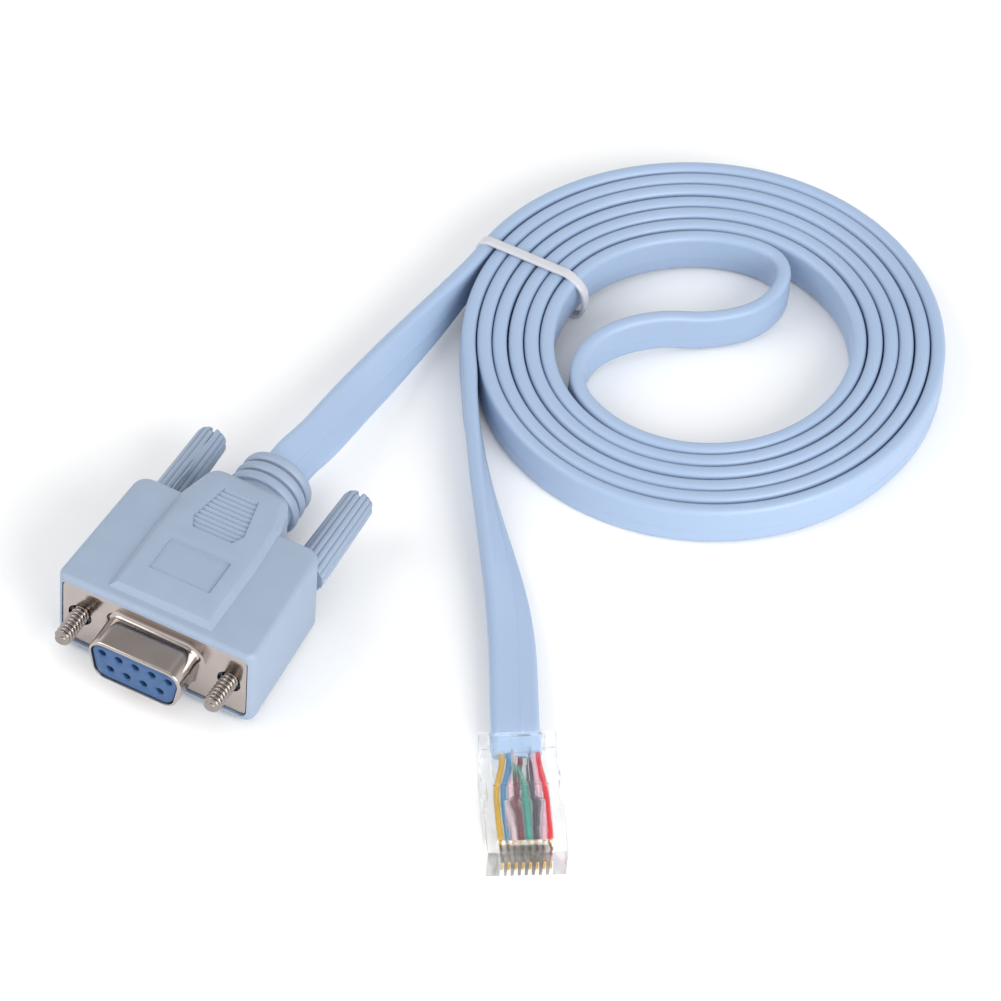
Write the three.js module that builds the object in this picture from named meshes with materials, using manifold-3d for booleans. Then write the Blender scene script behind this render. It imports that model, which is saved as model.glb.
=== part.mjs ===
// Console cable: a nine-way D connector, a flat eight-core cable wound in a tied coil,
// and a clear eight-way modular plug. Millimetres, +Z up, resting on the plane z = 0.
// The D connector mates toward -Y and its cable leaves toward +Y. The origin is under the
// middle of the D connector.
import * as THREE from 'three';
import { mergeVertices } from 'three/addons/utils/BufferGeometryUtils.js';
import Module from 'manifold-3d';

const wasm = await Module();
wasm.setup();

// Fits between neighbouring pieces
const GAP = 0.3;
const MOULDED_FIT = 0.15;
const CUT_OVERRUN = 1;

// Largest share of a side that one of its rounded corners takes
const LONGEST_CORNER_SHARE = 0.48;

// Contacts of the D connector, five above four
const CONTACT_PITCH = 2.77;
const CONTACT_ROW_SPACING = 2.84;
const CONTACT_ROWS = [{ count: 5, side: 1 }, { count: 4, side: -1 }];
const CONTACT_ENTRY_DIAMETER = 1.35;
const CONTACT_ENTRY_DEPTH = 0.9;
const CONTACT_OUTSIDE_DIAMETER = 1.7;
const CONTACT_BORE_DIAMETER = 1.0;
const CONTACT_LENGTH = 7.0;
const CONTACT_SIDES = 10;

// Steel shell and its flange
const SHELL_WIDTH = 16.3;
const SHELL_HEIGHT = 7.9;
const SHELL_SLANT = THREE.MathUtils.degToRad(10);
const SHELL_CORNER = 2.5;
const SHELL_WALL = 0.45;
const SHELL_REACH = 6.0;
const SHELL_FLARE = 0.7;
const FLANGE_EAR = 2.9;
const FLANGE_HEIGHT = 12.5;
const FLANGE_THICKNESS = 0.8;
const FLANGE_CORNER = 1.1;
const INSULATOR_SETBACK = 0.25;
const INSULATOR_LENGTH = 9.0;

// Thumbscrews
const SCREW_SPACING = 24.99;
const SCREW_DIAMETER = 2.84;
const SCREW_PITCH = 0.8;
const SCREW_THREAD_DEPTH = 0.3;
const SCREW_THREAD_LENGTH = 6.4;
const SCREW_TIP_REACH = 5.6;
const SCREW_SHANK_DIAMETER = 2.3;
const SCREW_SHANK_IN_GRIP = 9.0;
const SCREW_SIDES = 12;
const SCREW_FLANGE_HOLE_DIAMETER = 3.9;
const GRIP_BASE_DIAMETER = 5.8;
const GRIP_TIP_DIAMETER = 5.0;
const GRIP_LENGTH = 17.2;
const GRIP_TIP_ROUNDING = 1.2;
const GRIP_TIP_BULGE = 0.7;
const GRIP_RIBS = 16;
const GRIP_RIB_DEPTH = 0.25;
const GRIP_SLOT_WIDTH = 0.9;
const GRIP_SLOT_DEPTH = 1.4;

// Moulded hood with its strain relief
const HOOD_EAR = 4.0;
const HOOD_TAPER = 1.1;
const HOOD_DEPTH = 22.9;
const HOOD_SHOULDER_THICKNESS = 15.0;
const HOOD_EDGE = 0.9;
const HOOD_FRONT_CORNER = 1.6;
const HOOD_BACK_CORNER = 2.4;
const HOOD_RIM = 0.25;
const PANEL_RAISE = 0.8;
const PANEL_START = 1.4;
const PANEL_HALF_WIDTH = 8.7;
const PANEL_STRAIGHT_END = 15.0;
const PANEL_EDGE = 1.1;
const NECK_HALF_WIDTH_AT_SHOULDER = 8.2;
const NECK_HALF_WIDTH_AT_BACK = 6.4;
const NECK_END = 29.2;
const NECK_CORNER = 2.4;
const LABEL_WIDTH = 10.4;
const LABEL_LENGTH = 6.6;
const LABEL_START = 7.0;
const LABEL_DEPTH = 0.35;
const PAD_FRONT_HALF_WIDTH = 3.3;
const PAD_WIDEST_HALF_WIDTH = 4.3;
const PAD_BACK_HALF_WIDTH = 2.9;
const PAD_START = 17.0;
const PAD_WIDEST = 18.9;
const PAD_END = 25.9;
const PAD_DEPTH = 0.45;
const PAD_RIDGES = 10;
const PAD_RIDGE_WIDTH = 0.5;
const RELIEF_START_RADIUS = 6.1;
const RELIEF_END_RADIUS = 5.8;
const RELIEF_FOOT_LENGTH = 2.4;
const RELIEF_RINGS = 3;
const RELIEF_RING_LENGTH = 1.75;
const RELIEF_GROOVE_WIDTH = 0.45;
const RELIEF_GROOVE_DEPTH = 0.7;
const RELIEF_SIDES = 32;

// Flat cable
const CABLE_WIDTH = 7.2;
const CABLE_THICKNESS = 2.25;
const CABLE_SECTION_SIDES = 12;
const CABLE_STEP = 4.0;

// Coil, standing on the cable's edge, wound twofold from the middle of the cable
const COIL_CENTRE = new THREE.Vector2(41.96, 79.15);
const COIL_INNER_RADIUS = 21.5;
const COIL_TURN_PITCH = 2.42;
const COIL_TURNS = 6;
const COIL_OVAL = 0.74;
const COIL_OVAL_ANGLE = THREE.MathUtils.degToRad(55.8);
const COIL_DRIFT = 1.5;
const COIL_DRIFT_ANGLE = THREE.MathUtils.degToRad(115);
const COIL_GROOVE_DEPTH = 0.7;
const COIL_SIDES = 44;

// Tie around the coil and the cable that leaves it there
const TIE_ANGLE = Math.PI;
const TIE_WIDTH = 1.4;
const TIE_THICKNESS = 0.8;
const TIE_CORNER = 1.6;
const TIE_LIFT_SPREAD = THREE.MathUtils.degToRad(34);
const TIE_CORNER_STEPS = 4;
const CABLE_PAST_TIE = 1.0;

// Modular plug, latch up, its nose at the start of its own Y axis
const PLUG_NOSE = new THREE.Vector2(64.03, -21.19);
const PLUG_TURN = THREE.MathUtils.degToRad(32.1);
const PLUG_WIDTH = 11.68;
const PLUG_REAR_WIDTH = 11.3;
const PLUG_REAR_START = 16.8;
const PLUG_LENGTH = 21.46;
const PLUG_HEIGHT = 6.6;
const PLUG_NOSE_HEIGHT = 5.7;
const PLUG_NOSE_SLOPE_END = 2.2;
const PLUG_EDGE = 0.35;
const PLUG_BLADE_COUNT = 8;
const PLUG_BLADE_PITCH = 1.02;
const BLADE_THICKNESS = 0.3;
const BLADE_START = 0.6;
const BLADE_LENGTH = 5.2;
const BLADE_BOTTOM = 0.5;
const BLADE_TOP = 2.3;
const BLADE_SLOT_WIDTH = 0.5;
const BLADE_SLOT_NOSE_HEIGHT = 3.3;
const BLADE_SLOT_NOSE_LENGTH = 2.4;
const WIRE_DIAMETER = 0.8;
const WIRE_HEIGHT = 3.3;
const WIRE_FRONT = 3.6;
const WIRE_SIDES = 8;
const WIRE_CHANNEL_CLEARANCE = 0.3;
const JACKET_IN_PLUG = 2.4;
const LATCH_LEVER_WIDTH = 3.1;
const LATCH_SHOULDER_WIDTH = 6.0;
const LATCH_THICKNESS = 1.0;
const LATCH_HINGE_START = 1.0;
const LATCH_HINGE_END = 3.4;
const LATCH_SHOULDER_END = 8.4;
const LATCH_END = 18.2;
const LATCH_END_HEIGHT = 10.0;

// Routes of the cable where it isn't coiled: x, y, z of the middle of the cable, and the turn of
// its width from upright, in degrees, positive toward the left of the direction of travel
const CONNECTOR_LEAD_ROUTE = [
  [0.1, 25.6, 8.2, 68], [0.6, 28.4, 7.9, 67], [0.9, 32.4, 7.3, 65], [1.0, 36.6, 6.7, 61],
  [1.1, 40.7, 6.1, 56], [1.3, 44.8, 5.6, 51], [1.6, 48.9, 5.2, 45], [1.9, 53.1, 4.9, 38],
  [2.3, 57.3, 4.7, 31], [2.75, 61.5, 4.6, 24], [3.2, 65.7, 4.6, 16], [3.6, 69.9, 4.65, 8],
  [4.0, 74.0, 4.7, 2],
];
const BRIDGE_ROUTE = [
  [33.4, 58.6], [30.2, 60.6], [28.0, 63.6], [27.1, 67.5], [27.6, 71.5], [29.9, 75.4],
  [32.8, 78.3], [35.9, 80.8], [39.2, 83.1], [42.2, 85.5], [45.0, 88.4], [46.6, 91.6],
  [47.1, 95.2], [46.4, 98.6], [44.4, 101.0],
];
const PLUG_LEAD_ROUTE = [
  [14.3, 54.6, 3.6, 0], [15.6, 52.5, 3.6, -2], [17.7, 49.2, 3.6, -5], [19.9, 46.0, 3.6, -10],
  [24.5, 39.4, 3.6, -20], [29.3, 33.1, 3.5, -32], [34.0, 27.0, 3.4, -46], [38.6, 20.8, 3.3, -61],
  [42.8, 14.4, 3.3, -74], [46.6, 7.8, 3.3, -83], [49.8, 2.0, 3.3, -88],
];

const CONTACT_HEIGHT = HOOD_SHOULDER_THICKNESS / 2 + PANEL_RAISE;
const FLANGE_WIDTH = SCREW_SPACING + 2 * FLANGE_EAR;
const HOOD_FRONT_WIDTH = SCREW_SPACING + 2 * HOOD_EAR;
const HOOD_BACK_WIDTH = HOOD_FRONT_WIDTH - 2 * HOOD_TAPER;
const GRIP_START = HOOD_DEPTH + GAP;
const CONNECTOR_BACK = GRIP_START + GRIP_LENGTH;
const CONNECTOR_SETBACK = (CONNECTOR_BACK - SHELL_REACH) / 2;
const INSULATOR_START = -SHELL_REACH + INSULATOR_SETBACK;
const INSULATOR_END = INSULATOR_START + INSULATOR_LENGTH;
const SCREW_HOLE_DIAMETER = SCREW_DIAMETER + 2 * GAP;
const RELIEF_PITCH = RELIEF_RING_LENGTH + RELIEF_GROOVE_WIDTH;
const RELIEF_START = NECK_END + RELIEF_FOOT_LENGTH;
const RELIEF_END = RELIEF_START + RELIEF_RINGS * RELIEF_PITCH - RELIEF_GROOVE_WIDTH;
const COIL_OUTER_RADIUS = COIL_INNER_RADIUS + COIL_TURNS * COIL_TURN_PITCH;
const TIE_LIFT = TIE_THICKNESS + GAP;
const JACKET_END = PLUG_LENGTH - JACKET_IN_PLUG;
const WIRE_BACK = JACKET_END - GAP;
const WIRE_CHANNEL_HEIGHT = WIRE_DIAMETER + 2 * WIRE_CHANNEL_CLEARANCE;

const MATERIALS = {
  hood: { color: 0x9fb2cc, roughness: 0.55, metalness: 0 },
  cable: { color: 0xa9bddf, roughness: 0.45, metalness: 0 },
  steel: { color: 0xc9c0b6, roughness: 0.28, metalness: 1 },
  insulator: { color: 0x4f7fc0, roughness: 0.5, metalness: 0 },
  gold: { color: 0xc9a24a, roughness: 0.3, metalness: 1 },
  tie: { color: 0xe4e2de, roughness: 0.3, metalness: 0 },
  plug: { color: 0xf0f2f2, roughness: 0.12, metalness: 0 },
};
const WIRE_COLOURS = {
  yellow: 0xc79a2e, blue: 0x4f86b8, white: 0xc9a7ad, brown: 0x6b3a40,
  green: 0x3f9c86, black: 0x3c3a44, pink: 0xd9a9b6, red: 0xcf2630,
};

const group = new THREE.Group();

function material(look) {
  return new THREE.MeshStandardMaterial(MATERIALS[look]);
}

function addPiece(parent, name, geometry, finish) {
  const mesh = new THREE.Mesh(geometry, finish);
  mesh.name = name;
  parent.add(mesh);
  return mesh;
}

function toSolid(geometry) {
  const bare = geometry.clone();
  bare.deleteAttribute('normal');
  bare.deleteAttribute('uv');
  const merged = mergeVertices(bare, 1e-4);
  return new wasm.Manifold(new wasm.Mesh({
    numProp: 3,
    vertProperties: new Float32Array(merged.attributes.position.array),
    triVerts: new Uint32Array(merged.index.array),
  }));
}

function toGeometry(solid) {
  const mesh = solid.getMesh();
  const geometry = new THREE.BufferGeometry();
  geometry.setAttribute('position', new THREE.BufferAttribute(new Float32Array(mesh.vertProperties), 3));
  geometry.setIndex(new THREE.BufferAttribute(new Uint32Array(mesh.triVerts), 1));
  geometry.computeVertexNormals();
  return geometry;
}

function joined(solids) {
  return solids.reduce((whole, solid) => whole.add(solid));
}

function without(solid, cuts) {
  return cuts.reduce((left, cut) => left.subtract(cut), solid);
}

// Block given by its lowest and highest corners
function block(low, high) {
  const size = high.map((value, axis) => value - low[axis]);
  const geometry = new THREE.BoxGeometry(...size);
  geometry.translate(...low.map((value, axis) => value + size[axis] / 2));
  return toSolid(geometry);
}

// Round bar along Y
function bar(diameter, x, z, start, end, sides) {
  const geometry = new THREE.CylinderGeometry(diameter / 2, diameter / 2, end - start, sides);
  geometry.translate(x, (start + end) / 2, z);
  return toSolid(geometry);
}

// Outline in x and z, symmetric about x = 0, pushed along Y and with its edges bevelled inward
function alongY(shape, start, end, bevel = 0, steps = 1) {
  const geometry = new THREE.ExtrudeGeometry(shape, {
    depth: end - start - 2 * bevel,
    bevelEnabled: bevel > 0,
    bevelThickness: bevel,
    bevelSize: bevel,
    bevelOffset: -bevel,
    bevelSegments: steps,
    curveSegments: 5,
  });
  geometry.translate(0, 0, start + bevel);
  geometry.rotateX(Math.PI / 2);
  geometry.rotateZ(Math.PI);
  return geometry;
}

// Outline in x and y pushed along Z between two heights, with its edges bevelled inward
function alongZ(shape, bottom, top, bevel = 0, steps = 1) {
  const geometry = new THREE.ExtrudeGeometry(shape, {
    depth: top - bottom - 2 * bevel,
    bevelEnabled: bevel > 0,
    bevelThickness: bevel,
    bevelSize: bevel,
    bevelOffset: -bevel,
    bevelSegments: steps,
    curveSegments: 4,
  });
  geometry.translate(0, 0, bottom + bevel);
  return geometry;
}

// Closed outline through corner points, each rounded by one radius, or by its own third number
function roundedOutline(corners, radius) {
  const shape = new THREE.Shape();
  const count = corners.length;
  corners.forEach(([x, y, ownRadius = radius], index) => {
    const here = new THREE.Vector2(x, y);
    const before = new THREE.Vector2(...corners[(index + count - 1) % count]);
    const after = new THREE.Vector2(...corners[(index + 1) % count]);
    const longest = Math.min(here.distanceTo(before), here.distanceTo(after)) * LONGEST_CORNER_SHARE;
    const reach = Math.min(ownRadius, longest);
    const enter = here.clone().add(before.sub(here).setLength(reach));
    const leave = here.clone().add(after.sub(here).setLength(reach));
    if (index === 0) shape.moveTo(enter.x, enter.y);
    else shape.lineTo(enter.x, enter.y);
    if (reach > 0) shape.quadraticCurveTo(x, y, leave.x, leave.y);
  });
  shape.closePath();
  return shape;
}

function rectangleCorners(width, height, x = 0, z = 0) {
  const halfWidth = width / 2;
  const halfHeight = height / 2;
  return [
    [x - halfWidth, z - halfHeight], [x + halfWidth, z - halfHeight],
    [x + halfWidth, z + halfHeight], [x - halfWidth, z + halfHeight],
  ];
}

// D outline of the shell, the wide side up, grown outward by a margin
function dOutline(margin) {
  const height = SHELL_HEIGHT + 2 * margin;
  const topHalf = SHELL_WIDTH / 2 + margin;
  const bottomHalf = topHalf - SHELL_HEIGHT * Math.tan(SHELL_SLANT);
  const bottom = CONTACT_HEIGHT - height / 2;
  const top = CONTACT_HEIGHT + height / 2;
  const corners = [[-bottomHalf, bottom], [bottomHalf, bottom], [topHalf, top], [-topHalf, top]];
  return roundedOutline(corners, SHELL_CORNER + margin);
}

function contactPlaces() {
  return CONTACT_ROWS.flatMap(({ count, side }) => Array.from({ length: count }, (_, index) => ({
    x: (index - (count - 1) / 2) * CONTACT_PITCH,
    z: CONTACT_HEIGHT + side * CONTACT_ROW_SPACING / 2,
  })));
}

function screwPlaces() {
  return [
    { side: 'left', x: -SCREW_SPACING / 2 },
    { side: 'right', x: SCREW_SPACING / 2 },
  ];
}

// Hood: box with tapered sides, raised middle panel running into a neck, ringed strain relief
function hoodBody() {
  const front = HOOD_FRONT_WIDTH / 2;
  const back = HOOD_BACK_WIDTH / 2;
  const outline = roundedOutline([
    [-front, -HOOD_RIM, HOOD_FRONT_CORNER], [front, -HOOD_RIM, HOOD_FRONT_CORNER],
    [back, HOOD_DEPTH, HOOD_BACK_CORNER], [-back, HOOD_DEPTH, HOOD_BACK_CORNER],
  ]);
  const thickness = HOOD_SHOULDER_THICKNESS;
  return toSolid(alongZ(outline, PANEL_RAISE, PANEL_RAISE + thickness, HOOD_EDGE, 3));
}

function hoodPanel() {
  const outline = roundedOutline([
    [-PANEL_HALF_WIDTH, PANEL_START], [PANEL_HALF_WIDTH, PANEL_START],
    [PANEL_HALF_WIDTH, PANEL_STRAIGHT_END], [NECK_HALF_WIDTH_AT_SHOULDER, HOOD_DEPTH],
    [NECK_HALF_WIDTH_AT_BACK, NECK_END, NECK_CORNER],
    [-NECK_HALF_WIDTH_AT_BACK, NECK_END, NECK_CORNER],
    [-NECK_HALF_WIDTH_AT_SHOULDER, HOOD_DEPTH], [-PANEL_HALF_WIDTH, PANEL_STRAIGHT_END],
  ], 0);
  return toSolid(alongZ(outline, 0, 2 * CONTACT_HEIGHT, PANEL_EDGE, 1));
}

function strainRelief() {
  const rounding = RELIEF_RING_LENGTH / 4;
  const profile = [new THREE.Vector2(0, HOOD_DEPTH)];
  profile.push(new THREE.Vector2(RELIEF_START_RADIUS - RELIEF_GROOVE_DEPTH, HOOD_DEPTH));
  for (let ring = 0; ring < RELIEF_RINGS; ring += 1) {
    const radius = THREE.MathUtils.lerp(RELIEF_START_RADIUS, RELIEF_END_RADIUS, ring / (RELIEF_RINGS - 1));
    const start = RELIEF_START + ring * RELIEF_PITCH;
    const end = start + RELIEF_RING_LENGTH;
    const groove = radius - RELIEF_GROOVE_DEPTH;
    profile.push(new THREE.Vector2(groove, start));
    profile.push(new THREE.Vector2(radius - RELIEF_GROOVE_DEPTH / 4, start + rounding / 2));
    profile.push(new THREE.Vector2(radius, start + 2 * rounding));
    profile.push(new THREE.Vector2(radius - RELIEF_GROOVE_DEPTH / 4, end - rounding / 2));
    profile.push(new THREE.Vector2(groove, end));
  }
  profile.push(new THREE.Vector2(0, RELIEF_END));
  const geometry = new THREE.LatheGeometry(profile, RELIEF_SIDES);
  geometry.translate(0, 0, CONTACT_HEIGHT);
  return toSolid(geometry);
}

function labelRecess() {
  const top = 2 * CONTACT_HEIGHT;
  return block(
    [-LABEL_WIDTH / 2, LABEL_START, top - LABEL_DEPTH],
    [LABEL_WIDTH / 2, LABEL_START + LABEL_LENGTH, top + CUT_OVERRUN]);
}

// Finger pad in the top face: a recess that narrows toward both ends, crossed by ridges
function fingerPad() {
  const top = 2 * CONTACT_HEIGHT;
  const outline = roundedOutline([
    [-PAD_FRONT_HALF_WIDTH, PAD_START], [PAD_FRONT_HALF_WIDTH, PAD_START],
    [PAD_WIDEST_HALF_WIDTH, PAD_WIDEST], [PAD_BACK_HALF_WIDTH, PAD_END],
    [-PAD_BACK_HALF_WIDTH, PAD_END], [-PAD_WIDEST_HALF_WIDTH, PAD_WIDEST],
  ], 0);
  const recess = toSolid(alongZ(outline, top - PAD_DEPTH, top + CUT_OVERRUN));
  const spacing = (PAD_END - PAD_START) / (PAD_RIDGES + 1);
  const ridges = Array.from({ length: PAD_RIDGES }, (_, index) => {
    const middle = PAD_START + (index + 1) * spacing;
    return block(
      [-PAD_WIDEST_HALF_WIDTH - CUT_OVERRUN, middle - PAD_RIDGE_WIDTH / 2, top - PAD_DEPTH - CUT_OVERRUN],
      [PAD_WIDEST_HALF_WIDTH + CUT_OVERRUN, middle + PAD_RIDGE_WIDTH / 2, top - PAD_DEPTH / 4]);
  });
  return without(recess, ridges);
}

function flangeRecess() {
  const outline = roundedOutline(
    rectangleCorners(FLANGE_WIDTH + 2 * MOULDED_FIT, FLANGE_HEIGHT + 2 * MOULDED_FIT, 0, CONTACT_HEIGHT),
    FLANGE_CORNER);
  return toSolid(alongY(outline, -CUT_OVERRUN, FLANGE_THICKNESS + MOULDED_FIT));
}

function insulatorPocket() {
  return toSolid(alongY(dOutline(MOULDED_FIT), 0, INSULATOR_END + MOULDED_FIT));
}

function hood() {
  const screwHoles = screwPlaces().map(({ x }) => bar(
    SCREW_HOLE_DIAMETER, x, CONTACT_HEIGHT, -CUT_OVERRUN, HOOD_DEPTH + CUT_OVERRUN, SCREW_SIDES));
  const body = joined([hoodBody(), hoodPanel(), strainRelief()]);
  const underPad = fingerPad().mirror([0, 0, 1]).translate([0, 0, 2 * CONTACT_HEIGHT]);
  const cuts = [labelRecess(), fingerPad(), underPad, flangeRecess(), insulatorPocket(), ...screwHoles];
  return toGeometry(without(body, cuts));
}

// Stamped shell: flange plate, D tube and the flare between them
function shell() {
  const plate = toSolid(alongY(
    roundedOutline(rectangleCorners(FLANGE_WIDTH, FLANGE_HEIGHT, 0, CONTACT_HEIGHT), FLANGE_CORNER),
    0, FLANGE_THICKNESS));
  const tube = toSolid(alongY(dOutline(0), -SHELL_REACH, FLANGE_THICKNESS, SHELL_WALL / 2, 2));
  const flare = toSolid(alongY(dOutline(SHELL_FLARE), -SHELL_FLARE, SHELL_FLARE, SHELL_FLARE, 2));
  const inside = toSolid(alongY(
    dOutline(-SHELL_WALL), -SHELL_REACH - CUT_OVERRUN, FLANGE_THICKNESS + CUT_OVERRUN));
  const behind = block(
    [-SHELL_WIDTH, FLANGE_THICKNESS, 0],
    [SHELL_WIDTH, FLANGE_THICKNESS + SHELL_REACH, 2 * CONTACT_HEIGHT]);
  const holes = screwPlaces().map(({ x }) => bar(
    SCREW_FLANGE_HOLE_DIAMETER, x, CONTACT_HEIGHT, -SHELL_REACH, FLANGE_THICKNESS + CUT_OVERRUN,
    SCREW_SIDES));
  return toGeometry(without(joined([plate, tube, flare]), [inside, behind, ...holes]));
}

function insulator() {
  const bodySolid = toSolid(alongY(
    dOutline(-SHELL_WALL - MOULDED_FIT), INSULATOR_START, INSULATOR_END));
  const cuts = contactPlaces().flatMap(({ x, z }) => [
    bar(CONTACT_ENTRY_DIAMETER, x, z, INSULATOR_START - CUT_OVERRUN, INSULATOR_END, CONTACT_SIDES),
    bar(CONTACT_OUTSIDE_DIAMETER + MOULDED_FIT, x, z,
      INSULATOR_START + CONTACT_ENTRY_DEPTH, INSULATOR_END + CUT_OVERRUN, CONTACT_SIDES),
  ]);
  return toGeometry(without(bodySolid, cuts));
}

// Socket contact: short tube, its profile closed on itself
function contact() {
  const start = INSULATOR_START + CONTACT_ENTRY_DEPTH + MOULDED_FIT;
  const outside = CONTACT_OUTSIDE_DIAMETER / 2;
  const bore = CONTACT_BORE_DIAMETER / 2;
  const profile = [
    [bore, start], [outside, start], [outside, start + CONTACT_LENGTH], [bore, start + CONTACT_LENGTH],
    [bore, start],
  ];
  return new THREE.LatheGeometry(profile.map(([r, y]) => new THREE.Vector2(r, y)), CONTACT_SIDES);
}

// Screw: threaded front end on a thinner shank that runs back into the grip
function screw() {
  const outside = SCREW_DIAMETER / 2;
  const root = outside - SCREW_THREAD_DEPTH;
  const shank = SCREW_SHANK_DIAMETER / 2;
  const profile = [[0, -SCREW_TIP_REACH], [root, -SCREW_TIP_REACH]];
  const threads = Math.floor(SCREW_THREAD_LENGTH / SCREW_PITCH);
  for (let thread = 0; thread < threads; thread += 1) {
    const start = -SCREW_TIP_REACH + thread * SCREW_PITCH;
    profile.push([outside, start + SCREW_PITCH / 2], [root, start + SCREW_PITCH]);
  }
  const threadEnd = -SCREW_TIP_REACH + threads * SCREW_PITCH;
  const end = GRIP_START + SCREW_SHANK_IN_GRIP;
  profile.push([shank, threadEnd + SCREW_THREAD_DEPTH], [shank, end], [0, end]);
  return new THREE.LatheGeometry(profile.map(([r, y]) => new THREE.Vector2(r, y)), SCREW_SIDES);
}

// Grip: tapered, ribbed lengthwise, rounded at its tip, with a crossed slot and a blind bore
function grip() {
  const base = GRIP_BASE_DIAMETER / 2;
  const tip = GRIP_TIP_DIAMETER / 2;
  const roundingStart = GRIP_LENGTH - GRIP_TIP_ROUNDING;
  const profile = [
    [0, 0], [base, 0], [tip, roundingStart],
    [tip - GRIP_TIP_ROUNDING * (1 - GRIP_TIP_BULGE), roundingStart + GRIP_TIP_ROUNDING * GRIP_TIP_BULGE],
    [tip - GRIP_TIP_ROUNDING, GRIP_LENGTH], [0, GRIP_LENGTH],
  ];
  const geometry = new THREE.LatheGeometry(
    profile.map(([r, y]) => new THREE.Vector2(r, y)), 2 * GRIP_RIBS);
  const place = geometry.attributes.position;
  for (let index = 0; index < place.count; index += 1) {
    const x = place.getX(index);
    const z = place.getZ(index);
    const radius = Math.hypot(x, z);
    if (radius > GRIP_RIB_DEPTH) {
      const step = Math.round(Math.atan2(x, z) / (Math.PI / GRIP_RIBS));
      const ribbed = radius - (step % 2 === 0 ? 0 : GRIP_RIB_DEPTH);
      place.setX(index, x * ribbed / radius);
      place.setZ(index, z * ribbed / radius);
    }
  }
  const slotHalf = GRIP_SLOT_WIDTH / 2;
  const slotStart = GRIP_LENGTH - GRIP_SLOT_DEPTH;
  const slotEnd = GRIP_LENGTH + CUT_OVERRUN;
  const cuts = [
    block([-base, slotStart, -slotHalf], [base, slotEnd, slotHalf]),
    block([-slotHalf, slotStart, -base], [slotHalf, slotEnd, base]),
    bar(SCREW_SHANK_DIAMETER + 2 * GAP, 0, 0, -CUT_OVERRUN, SCREW_SHANK_IN_GRIP + GAP, SCREW_SIDES),
  ];
  return toGeometry(without(toSolid(geometry), cuts));
}

function addConnector() {
  const connector = new THREE.Group();
  connector.position.y = -CONNECTOR_SETBACK;
  group.add(connector);
  addPiece(connector, 'hood', hood(), material('hood'));
  addPiece(connector, 'shell', shell(), material('steel'));
  addPiece(connector, 'insulator', insulator(), material('insulator'));
  contactPlaces().forEach(({ x, z }, index) => {
    addPiece(connector, `socket_${index + 1}`, contact(), material('gold')).position.set(x, 0, z);
  });
  screwPlaces().forEach(({ side, x }) => {
    addPiece(connector, `screw_${side}`, screw(), material('steel')).position.set(x, 0, CONTACT_HEIGHT);
    addPiece(connector, `grip_${side}`, grip(), material('hood'))
      .position.set(x, GRIP_START, CONTACT_HEIGHT);
  });
}

// Height that the tie under the coil adds at an angle round it
function liftAt(angle) {
  const away = Math.atan2(Math.sin(angle - TIE_ANGLE), Math.cos(angle - TIE_ANGLE));
  return TIE_LIFT * Math.exp(-((away / TIE_LIFT_SPREAD) ** 2));
}

// Radius on the coil at an angle: a little oval, the outer turns drawn to one side
function coilRadius(plainRadius, angle) {
  const share = (plainRadius - COIL_INNER_RADIUS) / (COIL_OUTER_RADIUS - COIL_INNER_RADIUS);
  return plainRadius + COIL_OVAL * Math.cos(2 * (angle - COIL_OVAL_ANGLE))
    + share * COIL_DRIFT * Math.cos(angle - COIL_DRIFT_ANGLE);
}

// Ring of the coil's outer shape, grooved between its turns on both faces, grown by a margin
function coilRing(margin) {
  const middle = CABLE_WIDTH / 2;
  const turns = [];
  for (let turn = 0; turn < COIL_TURNS; turn += 1) {
    const start = COIL_INNER_RADIUS + turn * COIL_TURN_PITCH;
    turns.push([start, middle - COIL_GROOVE_DEPTH], [start + COIL_TURN_PITCH / 2, middle]);
  }
  turns.push([COIL_OUTER_RADIUS, middle - COIL_GROOVE_DEPTH]);
  const raised = turns.map(([r, z], index) => {
    const sideways = (index === 0 ? -margin : 0) + (index === turns.length - 1 ? margin : 0);
    return [r + sideways, z + margin];
  });
  const profile = [
    ...raised.map(([r, z]) => new THREE.Vector2(r, -z)),
    ...raised.reverse().map(([r, z]) => new THREE.Vector2(r, z)),
  ];
  profile.push(profile[0].clone());
  const geometry = new THREE.LatheGeometry(profile, COIL_SIDES);
  geometry.rotateX(Math.PI / 2);
  const place = geometry.attributes.position;
  for (let index = 0; index < place.count; index += 1) {
    const angle = Math.atan2(place.getY(index), place.getX(index));
    const radius = coilRadius(Math.hypot(place.getX(index), place.getY(index)), angle);
    place.setXYZ(index,
      COIL_CENTRE.x + radius * Math.cos(angle),
      COIL_CENTRE.y + radius * Math.sin(angle),
      place.getZ(index) + middle + liftAt(angle));
  }
  return geometry;
}

// Cable section: flat with round edges, its width along y
function cableSection() {
  const shape = new THREE.Shape();
  const radius = CABLE_THICKNESS / 2;
  const straight = CABLE_WIDTH / 2 - radius;
  const steps = CABLE_SECTION_SIDES / 2 - 1;
  for (const side of [1, -1]) {
    for (let step = 0; step <= steps; step += 1) {
      const angle = Math.PI * step / steps + (side > 0 ? 0 : Math.PI);
      const x = radius * Math.cos(angle);
      const y = radius * Math.sin(angle) + side * straight;
      if (side > 0 && step === 0) shape.moveTo(x, y);
      else shape.lineTo(x, y);
    }
  }
  shape.closePath();
  return shape;
}

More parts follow.
